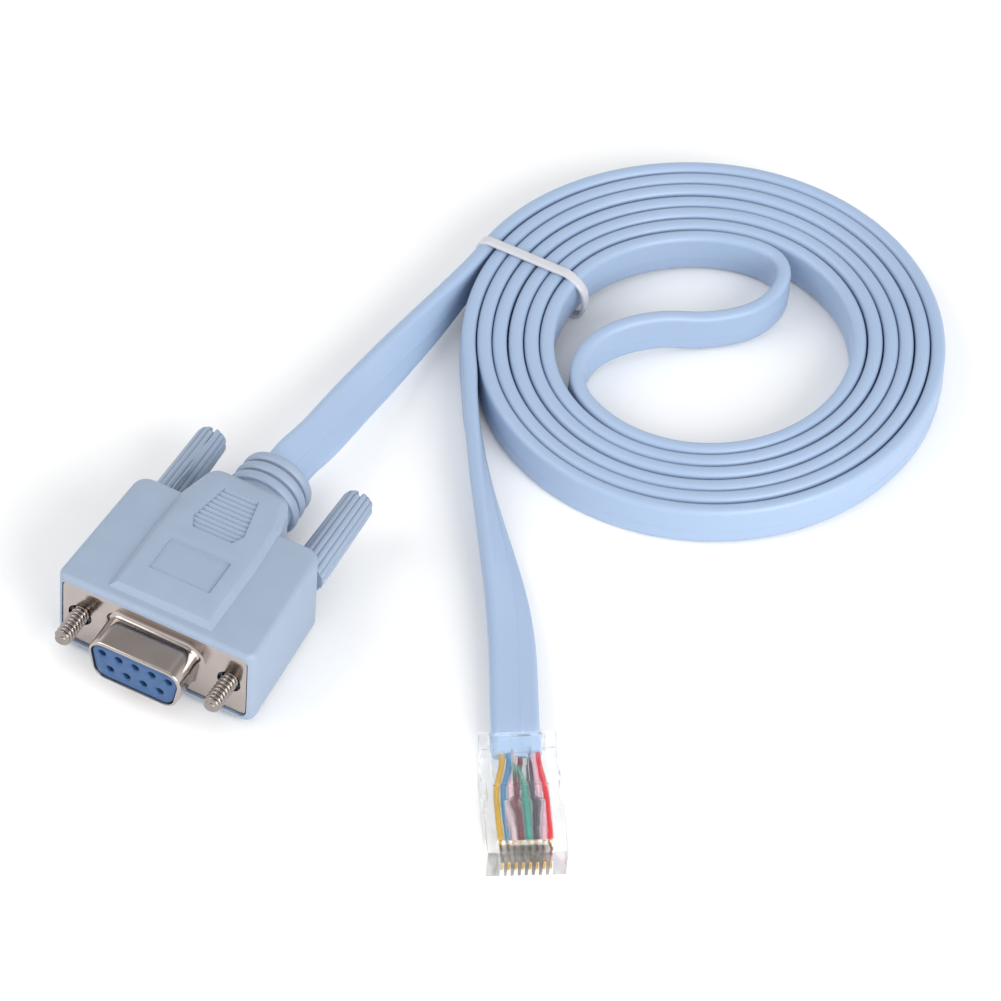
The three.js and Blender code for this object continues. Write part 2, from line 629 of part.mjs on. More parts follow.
// Flat cable along a route, turned about its own length by the route's fourth number
function cable(route) {
  const curve = new THREE.CatmullRomCurve3(
    route.map(([x, y, z]) => new THREE.Vector3(x, y, z)), false, 'centripetal');
  const length = curve.getLength();
  const steps = Math.ceil(length / CABLE_STEP);
  const geometry = new THREE.ExtrudeGeometry(cableSection(), { depth: 1, steps, bevelEnabled: false });
  const place = geometry.attributes.position;
  for (let index = 0; index < place.count; index += 1) {
    const share = place.getZ(index);
    const middle = curve.getPointAt(share);
    const forward = curve.getTangentAt(share);
    const at = curve.getUtoTmapping(share) * (route.length - 1);
    const before = Math.min(Math.floor(at), route.length - 2);
    const turn = THREE.MathUtils.degToRad(
      THREE.MathUtils.lerp(route[before][3], route[before + 1][3], at - before));
    const left = new THREE.Vector3(-forward.y, forward.x, 0).normalize();
    const up = new THREE.Vector3().crossVectors(forward, left);
    const width = up.clone().multiplyScalar(Math.cos(turn)).addScaledVector(left, Math.sin(turn));
    const across = new THREE.Vector3().crossVectors(width, forward);
    middle.addScaledVector(across, place.getX(index)).addScaledVector(width, place.getY(index));
    place.setXYZ(index, middle.x, middle.y, middle.z);
  }
  return geometry;
}

function connectorLead() {
  const exit = RELIEF_END - CONNECTOR_SETBACK + GAP;
  const start = [0, exit, CONTACT_HEIGHT, CONNECTOR_LEAD_ROUTE[0][3]];
  const end = [
    COIL_CENTRE.x - coilRadius(COIL_OUTER_RADIUS, TIE_ANGLE) - GAP - CABLE_THICKNESS / 2,
    COIL_CENTRE.y + TIE_WIDTH / 2 + CABLE_PAST_TIE, CABLE_WIDTH / 2 + TIE_LIFT, 0,
  ];
  const whole = toSolid(cable([start, ...CONNECTOR_LEAD_ROUTE, end]));
  return toGeometry(whole.subtract(toSolid(coilRing(GAP))));
}

function bridge() {
  const route = BRIDGE_ROUTE.map(([x, y]) => {
    const angle = Math.atan2(y - COIL_CENTRE.y, x - COIL_CENTRE.x);
    return [x, y, CABLE_WIDTH / 2 + liftAt(angle), 0];
  });
  return toGeometry(toSolid(cable(route)).subtract(toSolid(coilRing(GAP))));
}

function plugLead() {
  const back = new THREE.Vector2(0, PLUG_LENGTH - JACKET_IN_PLUG)
    .rotateAround(new THREE.Vector2(), PLUG_TURN).add(PLUG_NOSE);
  const mouth = new THREE.Vector2(0, PLUG_LENGTH)
    .rotateAround(new THREE.Vector2(), PLUG_TURN).add(PLUG_NOSE);
  const route = [
    ...PLUG_LEAD_ROUTE,
    [mouth.x, mouth.y, WIRE_HEIGHT, -90],
    [back.x, back.y, WIRE_HEIGHT, -90],
  ];
  return toGeometry(toSolid(cable(route)).subtract(toSolid(coilRing(GAP))));
}

// Tie: closed band round the coil's section and the cable beside it, at the tie's angle
function tie() {
  const inner = coilRadius(COIL_INNER_RADIUS, TIE_ANGLE) - GAP;
  const outer = coilRadius(COIL_OUTER_RADIUS, TIE_ANGLE) + GAP + CABLE_THICKNESS + GAP;
  const bottom = TIE_THICKNESS;
  const top = TIE_LIFT + CABLE_WIDTH + GAP;
  const middle = (bottom + top) / 2;
  const width = outer - inner;
  const height = top - bottom;
  const outside = roundedOutline(rectangleCorners(
    width + 2 * TIE_THICKNESS, height + 2 * TIE_THICKNESS, 0, middle), TIE_CORNER);
  outside.holes.push(roundedOutline(rectangleCorners(width, height, 0, middle), TIE_THICKNESS / 2));
  const geometry = new THREE.ExtrudeGeometry(outside, {
    depth: TIE_WIDTH, bevelEnabled: false, curveSegments: TIE_CORNER_STEPS,
  });
  geometry.rotateX(Math.PI / 2);
  geometry.translate(COIL_CENTRE.x - (inner + outer) / 2, COIL_CENTRE.y + TIE_WIDTH / 2, 0);
  return geometry;
}

function bladePlaces() {
  return Array.from({ length: PLUG_BLADE_COUNT },
    (_, index) => (index - (PLUG_BLADE_COUNT - 1) / 2) * PLUG_BLADE_PITCH);
}

// Side view of the latch, y along the plug and height above its base
function latchSide() {
  const slope = (LATCH_END_HEIGHT - PLUG_HEIGHT) / (LATCH_END - LATCH_HINGE_START);
  const topAt = (y) => PLUG_HEIGHT + slope * (y - LATCH_HINGE_START);
  const hingeBottom = PLUG_HEIGHT - LATCH_THICKNESS;
  return [
    [LATCH_HINGE_START, hingeBottom], [LATCH_HINGE_END, hingeBottom],
    [LATCH_HINGE_END + LATCH_THICKNESS, topAt(LATCH_HINGE_END) - LATCH_THICKNESS / 2],
    [LATCH_END, LATCH_END_HEIGHT - LATCH_THICKNESS], [LATCH_END, LATCH_END_HEIGHT],
    [LATCH_HINGE_START, PLUG_HEIGHT],
  ];
}

function acrossX(points, halfWidth) {
  const shape = new THREE.Shape(points.map(([y, z]) => new THREE.Vector2(y, z)));
  const geometry = new THREE.ExtrudeGeometry(shape, { depth: 2 * halfWidth, bevelEnabled: false });
  geometry.translate(0, 0, -halfWidth);
  geometry.applyMatrix4(new THREE.Matrix4().set(0, 0, 1, 0, 1, 0, 0, 0, 0, 1, 0, 0, 0, 0, 0, 1));
  return toSolid(geometry);
}

function plugLatch() {
  const whole = acrossX(latchSide(), LATCH_SHOULDER_WIDTH / 2);
  const beside = [-1, 1].map((side) => {
    const inner = side * LATCH_LEVER_WIDTH / 2;
    const outer = side * LATCH_SHOULDER_WIDTH;
    return block(
      [Math.min(inner, outer), LATCH_SHOULDER_END, PLUG_HEIGHT - LATCH_THICKNESS],
      [Math.max(inner, outer), LATCH_END + CUT_OVERRUN, LATCH_END_HEIGHT + CUT_OVERRUN]);
  });
  return without(whole, beside);
}

function plugBody() {
  const outline = [
    [0, 0], [PLUG_LENGTH, 0], [PLUG_LENGTH, PLUG_HEIGHT], [PLUG_NOSE_SLOPE_END, PLUG_HEIGHT],
    [0, PLUG_NOSE_HEIGHT],
  ];
  const half = PLUG_WIDTH / 2;
  const rearHalf = PLUG_REAR_WIDTH / 2;
  const plan = roundedOutline([
    [-half, 0], [half, 0], [half, PLUG_REAR_START], [rearHalf, PLUG_REAR_START + PLUG_EDGE],
    [rearHalf, PLUG_LENGTH], [-rearHalf, PLUG_LENGTH], [-rearHalf, PLUG_REAR_START + PLUG_EDGE],
    [-half, PLUG_REAR_START],
  ], PLUG_EDGE);
  return acrossX(outline, half).intersect(toSolid(alongZ(plan, 0, PLUG_HEIGHT)));
}

function plugCuts() {
  const jacketHalf = CABLE_WIDTH / 2 + GAP;
  const jacketRise = CABLE_THICKNESS / 2 + GAP;
  const wireHalf = (PLUG_BLADE_COUNT - 1) / 2 * PLUG_BLADE_PITCH + WIRE_DIAMETER / 2 + GAP;
  const cable = block(
    [-jacketHalf, WIRE_BACK, WIRE_HEIGHT - jacketRise],
    [jacketHalf, PLUG_LENGTH + CUT_OVERRUN, WIRE_HEIGHT + jacketRise]);
  const wires = block(
    [-wireHalf, WIRE_FRONT - GAP, WIRE_HEIGHT - WIRE_CHANNEL_HEIGHT / 2],
    [wireHalf, WIRE_BACK + CUT_OVERRUN, WIRE_HEIGHT + WIRE_CHANNEL_HEIGHT / 2]);
  const slots = bladePlaces().flatMap((x) => [
    block(
      [x - BLADE_SLOT_WIDTH / 2, -CUT_OVERRUN, -CUT_OVERRUN],
      [x + BLADE_SLOT_WIDTH / 2, BLADE_SLOT_NOSE_LENGTH, BLADE_SLOT_NOSE_HEIGHT]),
    block(
      [x - BLADE_SLOT_WIDTH / 2, -CUT_OVERRUN, -CUT_OVERRUN],
      [x + BLADE_SLOT_WIDTH / 2, BLADE_START + BLADE_LENGTH + GAP, BLADE_TOP + MOULDED_FIT]),
  ]);
  return [cable, wires, ...slots];
}

function addPlug() {
  const plug = new THREE.Group();
  plug.position.set(PLUG_NOSE.x, PLUG_NOSE.y, 0);
  plug.rotation.z = PLUG_TURN;
  group.add(plug);
  const body = without(joined([plugBody(), plugLatch()]), plugCuts());
  addPiece(plug, 'plug_body', toGeometry(body), material('plug'));
  const colours = Object.entries(WIRE_COLOURS);
  bladePlaces().forEach((x, index) => {
    const blade = new THREE.BoxGeometry(BLADE_THICKNESS, BLADE_LENGTH, BLADE_TOP - BLADE_BOTTOM);
    addPiece(plug, `blade_${index + 1}`, blade, material('gold'))
      .position.set(x, BLADE_START + BLADE_LENGTH / 2, (BLADE_TOP + BLADE_BOTTOM) / 2);
    const [colour, tint] = colours[index];
    const wire = new THREE.CylinderGeometry(
      WIRE_DIAMETER / 2, WIRE_DIAMETER / 2, WIRE_BACK - WIRE_FRONT, WIRE_SIDES);
    const finish = new THREE.MeshStandardMaterial({ color: tint, roughness: 0.5, metalness: 0 });
    addPiece(plug, `wire_${colour}`, wire, finish)
      .position.set(x, (WIRE_BACK + WIRE_FRONT) / 2, WIRE_HEIGHT);
  });
}

function addCable() {
  addPiece(group, 'cable_connector_lead', connectorLead(), material('cable'));
  addPiece(group, 'cable_coil', coilRing(0), material('cable'));
  addPiece(group, 'cable_bridge', bridge(), material('cable'));
  addPiece(group, 'cable_plug_lead', plugLead(), material('cable'));
  addPiece(group, 'tie', tie(), material('tie'));
}

addConnector();
addCable();
addPlug();

export default group;
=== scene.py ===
"""Looks of a console cable: a D connector, a flat cable in a tied coil, and a clear modular plug.

Metres, +Z up, resting on z = 0. The D connector mates toward -Y and its cable leaves toward +Y.
"""
import math

import bmesh
import bpy
import numpy as np
from mathutils import Matrix, Vector


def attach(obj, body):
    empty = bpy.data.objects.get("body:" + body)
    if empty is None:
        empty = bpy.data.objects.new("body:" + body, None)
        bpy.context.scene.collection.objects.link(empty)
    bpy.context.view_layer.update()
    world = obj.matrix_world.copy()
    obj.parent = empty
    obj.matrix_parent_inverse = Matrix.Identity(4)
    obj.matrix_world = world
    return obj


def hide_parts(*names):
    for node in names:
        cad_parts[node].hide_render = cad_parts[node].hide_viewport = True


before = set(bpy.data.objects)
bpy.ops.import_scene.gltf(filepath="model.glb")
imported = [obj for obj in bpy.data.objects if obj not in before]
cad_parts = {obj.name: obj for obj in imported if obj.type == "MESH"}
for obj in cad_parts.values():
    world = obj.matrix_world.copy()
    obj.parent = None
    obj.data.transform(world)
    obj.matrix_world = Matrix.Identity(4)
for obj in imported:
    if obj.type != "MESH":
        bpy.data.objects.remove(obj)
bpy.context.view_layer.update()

# Radius that stands for a sharp corner, and points nearer than this become one
SHARP_RADIUS = 4e-6
WELD_DISTANCE = 1e-5
# How far a cutter reaches past what it cuts
OVERRUN = 0.001
# Angles in degrees: edges sharper than the first are shaded sharp, than the second are softened
SHARP_ANGLE = 35
SOFTEN_ANGLE = 40
SOFTEN_SEGMENTS = 2
BAR_SEGMENTS = 48

# Camera at the photograph's viewing angle
CAMERA_PLACE = (0.294456, -0.551715, 0.753942)
CAMERA_FORWARD = (-0.26818, 0.59481, -0.75781)
CAMERA_RIGHT = (0.88390, 0.46475, 0.05199)
CAMERA_LENS = 236.75
CAMERA_SENSOR = 36.0
CAMERA_CLIP = (0.05, 20)

# Contacts of the D connector, five above four
CONTACT_PITCH = 0.00277
CONTACT_ROW_SPACING = 0.00284
CONTACT_ROWS = ((5, 1), (4, -1))
CONTACT_ENTRY_RADIUS = 0.00062
CONTACT_ENTRY_CHAMFER = 0.0002
CONTACT_OUTSIDE_RADIUS = 0.00085
CONTACT_BORE_RADIUS = 0.0005
CONTACT_LENGTH = 0.007
CONTACT_SETBACK = 0.00105
CONTACT_ENTRY_DEPTH = 0.0009
CONTACT_HOLE_GAP = 0.00008
CONTACT_MOUTH_CHAMFER = 0.0001
CONTACT_SEGMENTS = 24
CONTACT_HOLE_SEGMENTS = 28
CONTACT_HEIGHT = 0.0083

# Steel shell, its flange and the insulator in it
SHELL_WIDTH = 0.0163
SHELL_HEIGHT = 0.0079
SHELL_SLANT = math.radians(10)
SHELL_CORNER = 0.0025
SHELL_WALL = 0.00045
SHELL_REACH = 0.006
SHELL_FLARE = 0.0008
SHELL_FLARE_STEPS = 6
SHELL_LIP = 0.0004
# The lip's curve, as shares of its length and of the wall's thickness, and its share inside
SHELL_LIP_CURVE = ((0.0, 0.0), (0.4, 0.05), (0.75, 0.25), (0.95, 0.6), (1.0, 1.0))
SHELL_LIP_INSIDE = 1.2
FLANGE_WIDTH = 0.03079
FLANGE_HEIGHT = 0.0125
FLANGE_THICKNESS = 0.0008
FLANGE_CORNER = 0.0011
FLANGE_EDGE = 0.00012
FLANGE_HOLE_RADIUS = 0.00195
INSULATOR_SETBACK = 0.00025
INSULATOR_LENGTH = 0.009
INSULATOR_EDGE = 0.00015
FIT = 0.00015

# Thumbscrews
SCREW_SPACING = 0.02499
SCREW_RADIUS = 0.00142
SCREW_PITCH = 0.0007
SCREW_THREAD_DEPTH = 0.0004
SCREW_THREAD_LENGTH = 0.0064
SCREW_TIP_REACH = 0.0056
SCREW_TIP_TAPER = 0.0006
SCREW_DIMPLE = 0.00045
SCREW_SHANK_RADIUS = 0.00115
SCREW_SHANK_END = 0.0322
SCREW_HOLE_RADIUS = 0.00172
SCREW_NECK_LENGTH = 0.0003
SCREW_DIMPLE_RADIUS = 0.0003
# Shares of the screw's radius at the flat of its tip and where its thread starts
SCREW_TIP_FLAT_SHARE = 0.45
SCREW_TIP_SHARE = 0.72
SCREW_CREST_POWER = 0.6
SCREW_SEGMENTS = 48
SCREW_ROWS_PER_TURN = 14
GRIP_START = 0.0232
GRIP_LENGTH = 0.0172
GRIP_BASE_RADIUS = 0.0029
GRIP_TIP_RADIUS = 0.0025
GRIP_TIP_ROUNDING = 0.0012
GRIP_RIBS = 16
GRIP_RIB_DEPTH = 0.00028
GRIP_SLOT_WIDTH = 0.0009
GRIP_SLOT_DEPTH = 0.0013
GRIP_FLASH = 0.0003
GRIP_FLASH_WIDTH = 0.07
GRIP_FLASH_ANGLE = 1.3
# The flash line's wander to its sides, in radians, and its waves along the grip, per metre
GRIP_FLASH_WANDER = 0.1
GRIP_FLASH_WAVES = (700, 260)
GRIP_RIB_POWER = 0.5
GRIP_RIB_SEGMENTS = 8
GRIP_ROWS = 28
GRIP_ROUNDING_STEPS = 6

# Moulded hood with its strain relief
HOOD_FRONT_WIDTH = 0.03299
HOOD_TAPER = 0.0011
HOOD_DEPTH = 0.0229
HOOD_THICKNESS = 0.015
HOOD_EDGE = 0.0009
HOOD_FRONT_CORNER = 0.0016
HOOD_BACK_CORNER = 0.0024
HOOD_RIM = 0.00025
PANEL_RAISE = 0.0008
# Raised panel: y, half width and corner radius of its plan, then depth and margin of its sloped edge
PANEL_PLAN = (
    (0.0014, 0.0087, 0.0), (0.015, 0.0087, 0.004), (0.0229, 0.0082, 0.004),
    (0.0292, 0.0064, 0.0024))
PANEL_SLOPE = (
    (0.0, 0.00125), (0.00005, 0.0011), (0.0002, 0.0009), (0.0007, 0.00015), (0.0009, 0.0))
LABEL_WIDTH = 0.0104
LABEL_LENGTH = 0.0066
LABEL_START = 0.007
LABEL_DEPTH = 0.0003
LABEL_CORNER = 0.0003
LABEL_EDGE = ((0.0, 0.0001), (0.0001, 0.00003), (0.00035, 0.0))
PAD_HALF_WIDTHS = ((0.0170, 0.0033), (0.0189, 0.0043), (0.0259, 0.0029))
PAD_DEPTH = 0.00045
PAD_RIDGES = 10
# Share of the pad's depth at the tops of its ridges, and the power that narrows them
PAD_RIDGE_SHARE = 0.15
PAD_RIDGE_POWER = 0.7
PAD_RIDGE_STEPS = 8
RELIEF_START = 0.0316
RELIEF_RADII = (0.0061, 0.00595, 0.0058)
RELIEF_RING_LENGTH = 0.0017
RELIEF_GROOVE_WIDTH = 0.0005
RELIEF_GROOVE_DEPTH = 0.0009
# The power that squares the rings, and the steps across one
RELIEF_RING_POWER = 0.45
RELIEF_RING_STEPS = 8
RELIEF_SEGMENTS = 96

# Flat cable: x, y, z of its middle and the turn of its width from upright, in degrees, positive
# toward the left of the direction of travel, which runs from the D connector to the plug
CABLE_WIDTH = 0.0072
CABLE_THICKNESS = 0.00225
CABLE_EDGE_RADIUS = 0.00095
CABLE_CORNER_STEPS = 5
CABLE_LINE_HEIGHT = 0.00009
CABLE_LINE_HALF_WIDTH = 0.00016
CABLE_LINE_PLACE = -0.0008
CABLE_SUPPORT = 0.00012
CABLE_STEP = 0.0012
CABLE_EASE = 0.0015
CONNECTOR_LEAD = (
    (0.0, 0.0201, 0.0083, 68), (0.0001, 0.0256, 0.0082, 68), (0.0006, 0.0284, 0.0079, 67),
    (0.0009, 0.0324, 0.0073, 65), (0.0010, 0.0366, 0.0067, 61), (0.0011, 0.0407, 0.0061, 56),
    (0.0013, 0.0448, 0.0056, 51), (0.0016, 0.0489, 0.0052, 45), (0.0019, 0.0531, 0.0049, 38),
    (0.0023, 0.0573, 0.0047, 31), (0.00275, 0.0615, 0.0046, 24), (0.0032, 0.0657, 0.0046, 16),
    (0.0036, 0.0699, 0.00465, 8), (0.0040, 0.0740, 0.0047, 2),
)
BRIDGE = (
    (0.0444, 0.1010), (0.0464, 0.0986), (0.0471, 0.0952), (0.0466, 0.0916), (0.0450, 0.0884),
    (0.0422, 0.0855), (0.0392, 0.0831), (0.0359, 0.0808), (0.0328, 0.0783), (0.0299, 0.0754),
    (0.0276, 0.0715), (0.0271, 0.0675), (0.0280, 0.0636), (0.0302, 0.0606), (0.0334, 0.0586),
)
PLUG_LEAD = (
    (0.0156, 0.0525, 0.0036, -2), (0.0177, 0.0492, 0.0036, -5), (0.0199, 0.0460, 0.0037, -10),
    (0.0245, 0.0394, 0.0037, -20), (0.0293, 0.0331, 0.0036, -32), (0.0340, 0.0270, 0.0035, -46),
    (0.0386, 0.0208, 0.0033, -61), (0.0428, 0.0144, 0.0033, -74), (0.0466, 0.0078, 0.0033, -83),
    (0.0498, 0.0020, 0.0033, -88),
)

# Coil, wound twofold from the middle of the cable and standing on the cable's edge
COIL_CENTRE = (0.04196, 0.07915)
COIL_START_RADIUS = 0.02237
COIL_PITCH = 0.00242
COIL_OVAL = 0.00074
COIL_OVAL_ANGLE = 55.8
COIL_ANGLE_STEP = 2.5
INWARD_HALF = {"zero": 114.27, "from": 1145.73, "to": -22.27}
OUTWARD_HALF = {"zero": 294.27, "from": -36.27, "to": 1004.73}
# Unevenness of the strands: to the side and upward, each with its rate round the coil
COIL_WAVE = 0.00005
COIL_WAVE_RATE = 1.7
COIL_RISE = 0.00018
COIL_RISE_RATE = 0.83

# Tie around the coil
TIE_ANGLE = 180
TIE_WIDTH = 0.0016
TIE_THICKNESS = 0.0007
TIE_LIFT = 0.0010
TIE_LIFT_SPREAD = 34
TIE_INNER_SLACK = 0.0015
TIE_TURNS_WITHIN = 3
TIE_CORNER_SHARE = 0.42
TIE_CLEARANCE_SHARE = 0.4

# Modular plug, latch up, in its own frame: x across, y back from the nose, z up
PLUG_NOSE = (0.06403, -0.02119)
PLUG_TURN = math.radians(32.1)
PLUG_WIDTH = 0.01168
PLUG_REAR_WIDTH = 0.0113
PLUG_REAR_START = 0.0168
PLUG_LENGTH = 0.02146
PLUG_HEIGHT = 0.0066
PLUG_NOSE_HEIGHT = 0.0057
PLUG_NOSE_SLOPE_END = 0.0022
PLUG_EDGE = 0.0002
PLUG_PROFILE_CORNER = 0.00025
PLUG_PLAN_CORNER = 0.0003
PLUG_NOTCH_START = 0.0093
PLUG_NOTCH_END = 0.0122
PLUG_NOTCH_BOTTOM = 0.0028
PLUG_NOTCH_DEPTH = 0.0007
# Hollows, as profiles of y and z: the jacket's and the bar that clamps it
JACKET_HOLLOW = (
    (0.0128, 0.0022), (PLUG_LENGTH + OVERRUN, 0.0016), (PLUG_LENGTH + OVERRUN, 0.0050),
    (0.0128, 0.0046))
JACKET_HOLLOW_HALF_WIDTH = 0.0040
JACKET_HOLLOW_CORNER = 0.0002
BAR_HOLLOW = ((0.0112, -OVERRUN), (0.0152, -OVERRUN), (0.0148, 0.0010), (0.0118, 0.0016))
BAR_HOLLOW_HALF_WIDTH = 0.0032
BAR_HOLLOW_CORNER = 0.0001
WIRE_HOLLOW_HALF_WIDTH = 0.0041
WIRE_HOLLOW_AHEAD = 0.0003
WIRE_HOLLOW_END = 0.0130
WIRE_HOLLOW_HEIGHTS = (0.0028, 0.0040)
# Comb slots at the nose, narrower at their top, and the narrow slots behind them
SLOT_HALF_WIDTHS = (0.00034, 0.0002)
SLOT_NOSE_HEIGHT = 0.0033
SLOT_NOSE_LENGTH = 0.0024
SLOT_BACK_START = 0.0020
SLOT_BACK_END = 0.0058
SLOT_BACK_HEIGHT = 0.0025
# Sections of the latch lever from its root to its free end: y, half width, bottom and top
LATCH_SECTIONS = (
    (0.0009, 0.0027, 0.0056, 0.0064), (0.0024, 0.00295, 0.0059, 0.0070),
    (0.0044, 0.00295, 0.0068, 0.0074), (0.0076, 0.00295, 0.00734, 0.0080),
    (0.0084, 0.00155, 0.00748, 0.00815), (0.0182, 0.00148, 0.00915, 0.0100))
LATCH_WINDOW = ((-0.0009, 0.0106, 0.0084), (0.0009, 0.0150, 0.012))
LATCH_EDGE = 0.0001
JACKET_IN_PLUG = 0.0024
WIRE_HEIGHT = 0.0033
WIRE_RADIUS = 0.00043
WIRE_FRONT = 0.0036
WIRE_REAR_PITCH = 0.00086
WIRE_SIDES = 12
WIRE_STRAIGHT = (0.0070, 0.0105)
# Where the cores start to bend, and by then how far in and up they have come
WIRE_BEND_START = 0.0128
WIRE_PINCH = 0.97
WIRE_RISE = 0.0001
WIRE_BEND_MIDDLE = 0.0150
WIRE_BEND_END = 0.0175
WIRE_CROSSING_LIFT = 0.0006
CROSSING_WIRE = "green"
BLADE_PITCH = 0.00102
BLADE_THICKNESS = 0.0003
BLADE_START = 0.0006
BLADE_LENGTH = 0.0046
BLADE_BOTTOM = 0.0005
BLADE_TOP = 0.0023
BLADE_CORNER = 0.0004
BLADE_EDGE = 0.00004
BLADE_COUNT = 8

# Finishes: range of the clouds, range of the edges that carry a painted highlight, and how much
# paler those are painted
CLOUD_RANGE = (0.3, 0.7)
EDGE_HIGHLIGHT_RANGE = (0.52, 0.62)
EDGE_HIGHLIGHT_GAIN = 1.25
EDGE_HIGHLIGHT_RAISE = 0.05

FLOOR_SIZE = 4
FLOOR_HEIGHTS = (-0.0101, -0.0001)
FLOOR_COLOUR = (0.9, 0.9, 0.9)
LIGHT_TARGET = (0.03, 0.04, 0)
LIGHT_SIZE = 0.9
# Name, place and power of each light
LIGHTS = (("key", (1.0, -0.45, 0.62), 13), ("fill", (-0.75, -0.45, 0.9), 5.5))
STUDIO_STRENGTH = 1.15
# Brightness of the surroundings, by the sine of the height above the horizon
STUDIO_GREYS = ((0, 1.0), (0.45, 1.0), (0.68, 0.45), (0.86, 0.4), (0.999, 0.9))

# Top of the hood's panel, as far above the contacts as the floor is below them
MIRROR_HEIGHT = 2 * CONTACT_HEIGHT
# The connector is built with its flange's face at y = 0, and then moved to here
ROW_SHIFT = -0.0172


# Camera

def add_camera():
    data = bpy.data.cameras.new("camera")
    data.lens = CAMERA_LENS
    data.sensor_width = CAMERA_SENSOR
    data.clip_start, data.clip_end = CAMERA_CLIP
    camera = bpy.data.objects.new("camera", data)
    bpy.context.scene.collection.objects.link(camera)
    forward = Vector(CAMERA_FORWARD).normalized()
    right = Vector(CAMERA_RIGHT)
    right = (right - forward * right.dot(forward)).normalized()
    up = right.cross(forward)
    turn = Matrix((right, up, -forward)).transposed().to_4x4()
    camera.matrix_world = Matrix.Translation(CAMERA_PLACE) @ turn
    bpy.context.scene.camera = camera


add_camera()


# Mesh building

def mesh_object(name, points, faces, sharp_angle=SHARP_ANGLE):
    mesh = bpy.data.meshes.new(name)
    mesh.from_pydata([tuple(p) for p in points], [], [tuple(f) for f in faces])
    mesh.validate()
    obj = bpy.data.objects.new(name, mesh)
    bpy.context.scene.collection.objects.link(obj)
    outward(obj)
    shade(obj, sharp_angle)
    return obj


def outward(obj):
    work = bmesh.new()
    work.from_mesh(obj.data)
    bmesh.ops.remove_doubles(work, verts=work.verts, dist=WELD_DISTANCE)
    bmesh.ops.recalc_face_normals(work, faces=work.faces)
    work.to_mesh(obj.data)
    work.free()


def shade(obj, sharp_angle):
    obj.data.polygons.foreach_set("use_smooth", [True] * len(obj.data.polygons))
    obj.data.set_sharp_from_angle(angle=math.radians(sharp_angle))
    obj.data.update()


def loft(name, rings, closed=False, sharp_angle=SHARP_ANGLE):
    """A skin over rings of equal length, closed on itself or capped at both ends."""
    count = len(rings[0])
    points = [p for ring in rings for p in ring]
    faces = []
    spans = len(rings) if closed else len(rings) - 1
    for ring in range(spans):
        here = ring * count
        there = (ring + 1) % len(rings) * count
        for index in range(count):
            after = (index + 1) % count
            faces.append((here + index, here + after, there + after, there + index))
    if not closed:
        last = (len(rings) - 1) * count
        faces.append(tuple(range(count))[::-1])
        faces.append(tuple(last + index for index in range(count)))
    return mesh_object(name, points, faces, sharp_angle)


def join(name, objects):
    bpy.ops.object.select_all(action="DESELECT")
    for obj in objects:
        obj.select_set(True)
    bpy.context.view_layer.objects.active = objects[0]
    bpy.ops.object.join()
    objects[0].name = name
    objects[0].data.name = name
    return objects[0]


def settle(obj):
    """Applies the object's modifiers to its mesh."""
    graph = bpy.context.evaluated_depsgraph_get()
    mesh = bpy.data.meshes.new_from_object(obj.evaluated_get(graph))
    obj.modifiers.clear()
    old = obj.data
    obj.data = mesh
    bpy.data.meshes.remove(old)


def combine(base, others, operation, sharp_angle=SHARP_ANGLE):
    for other in others:
        step = base.modifiers.new(operation, "BOOLEAN")
        step.operation = operation
        step.solver = "EXACT"
        step.object = other
    settle(base)
    for other in others:
        bpy.data.objects.remove(other)
    shade(base, sharp_angle)
    return base


def soften(obj, width):
    step = obj.modifiers.new("edges", "BEVEL")
    step.width = width
    step.segments = SOFTEN_SEGMENTS
    step.limit_method = "ANGLE"
    step.angle_limit = math.radians(SOFTEN_ANGLE)
    settle(obj)
    shade(obj, SHARP_ANGLE)
    return obj


def outline(corners, radius, margin=0.0, steps=6):
    """Outline through corners given anticlockwise, drawn in by a margin.

    Each corner is rounded by the one radius, or by its own third number.
    """
    count = len(corners)
    edges = []
    for index in range(count):
        start = np.array(corners[index][:2])
        end = np.array(corners[(index + 1) % count][:2])
        along = (end - start) / np.linalg.norm(end - start)
        inward = np.array((-along[1], along[0]))
        edges.append((start + inward * margin, along))
    points = []
    for index in range(count):
        before_start, before = edges[index - 1]
        start, along = edges[index]
        cross = before[0] * along[1] - before[1] * along[0]
        offset = start - before_start
        reach = (offset[0] * along[1] - offset[1] * along[0]) / cross
        corner = before_start + before * reach
        turn = math.atan2(cross, before @ along)
        own_radius = corners[index][2] if len(corners[index]) > 2 else radius
        fillet = max(own_radius - margin, SHARP_RADIUS)
        tangent = fillet * math.tan(turn / 2)
        middle = corner - before * tangent + np.array((-before[1], before[0])) * fillet
        first = corner - before * tangent - middle
        for step in range(steps + 1):
            a = turn * step / steps
            x = first[0] * math.cos(a) - first[1] * math.sin(a)
            y = first[0] * math.sin(a) + first[1] * math.cos(a)
            points.append((middle[0] + x, middle[1] + y))
    return points


def box_corners(width, height, x=0.0, y=0.0):
    return (
        (x - width / 2, y - height / 2), (x + width / 2, y - height / 2),
        (x + width / 2, y + height / 2), (x - width / 2, y + height / 2),
    )


def mirrored_corners(half_widths):
    """Corners of a plan symmetric about x = 0, from y, half width and a corner radius or none."""
    right = [(half, y, *radius) for y, half, *radius in half_widths]
    left = [(-half, y, *radius) for y, half, *radius in reversed(half_widths)]
    return right + left


def rounded_edge(size, steps=4):
    """Distances from an end face with the margins that round its edge."""
    turns = [math.pi / 2 * step / steps for step in range(steps + 1)]
    return [(size * (1 - math.cos(a)), size * (1 - math.sin(a))) for a in turns]


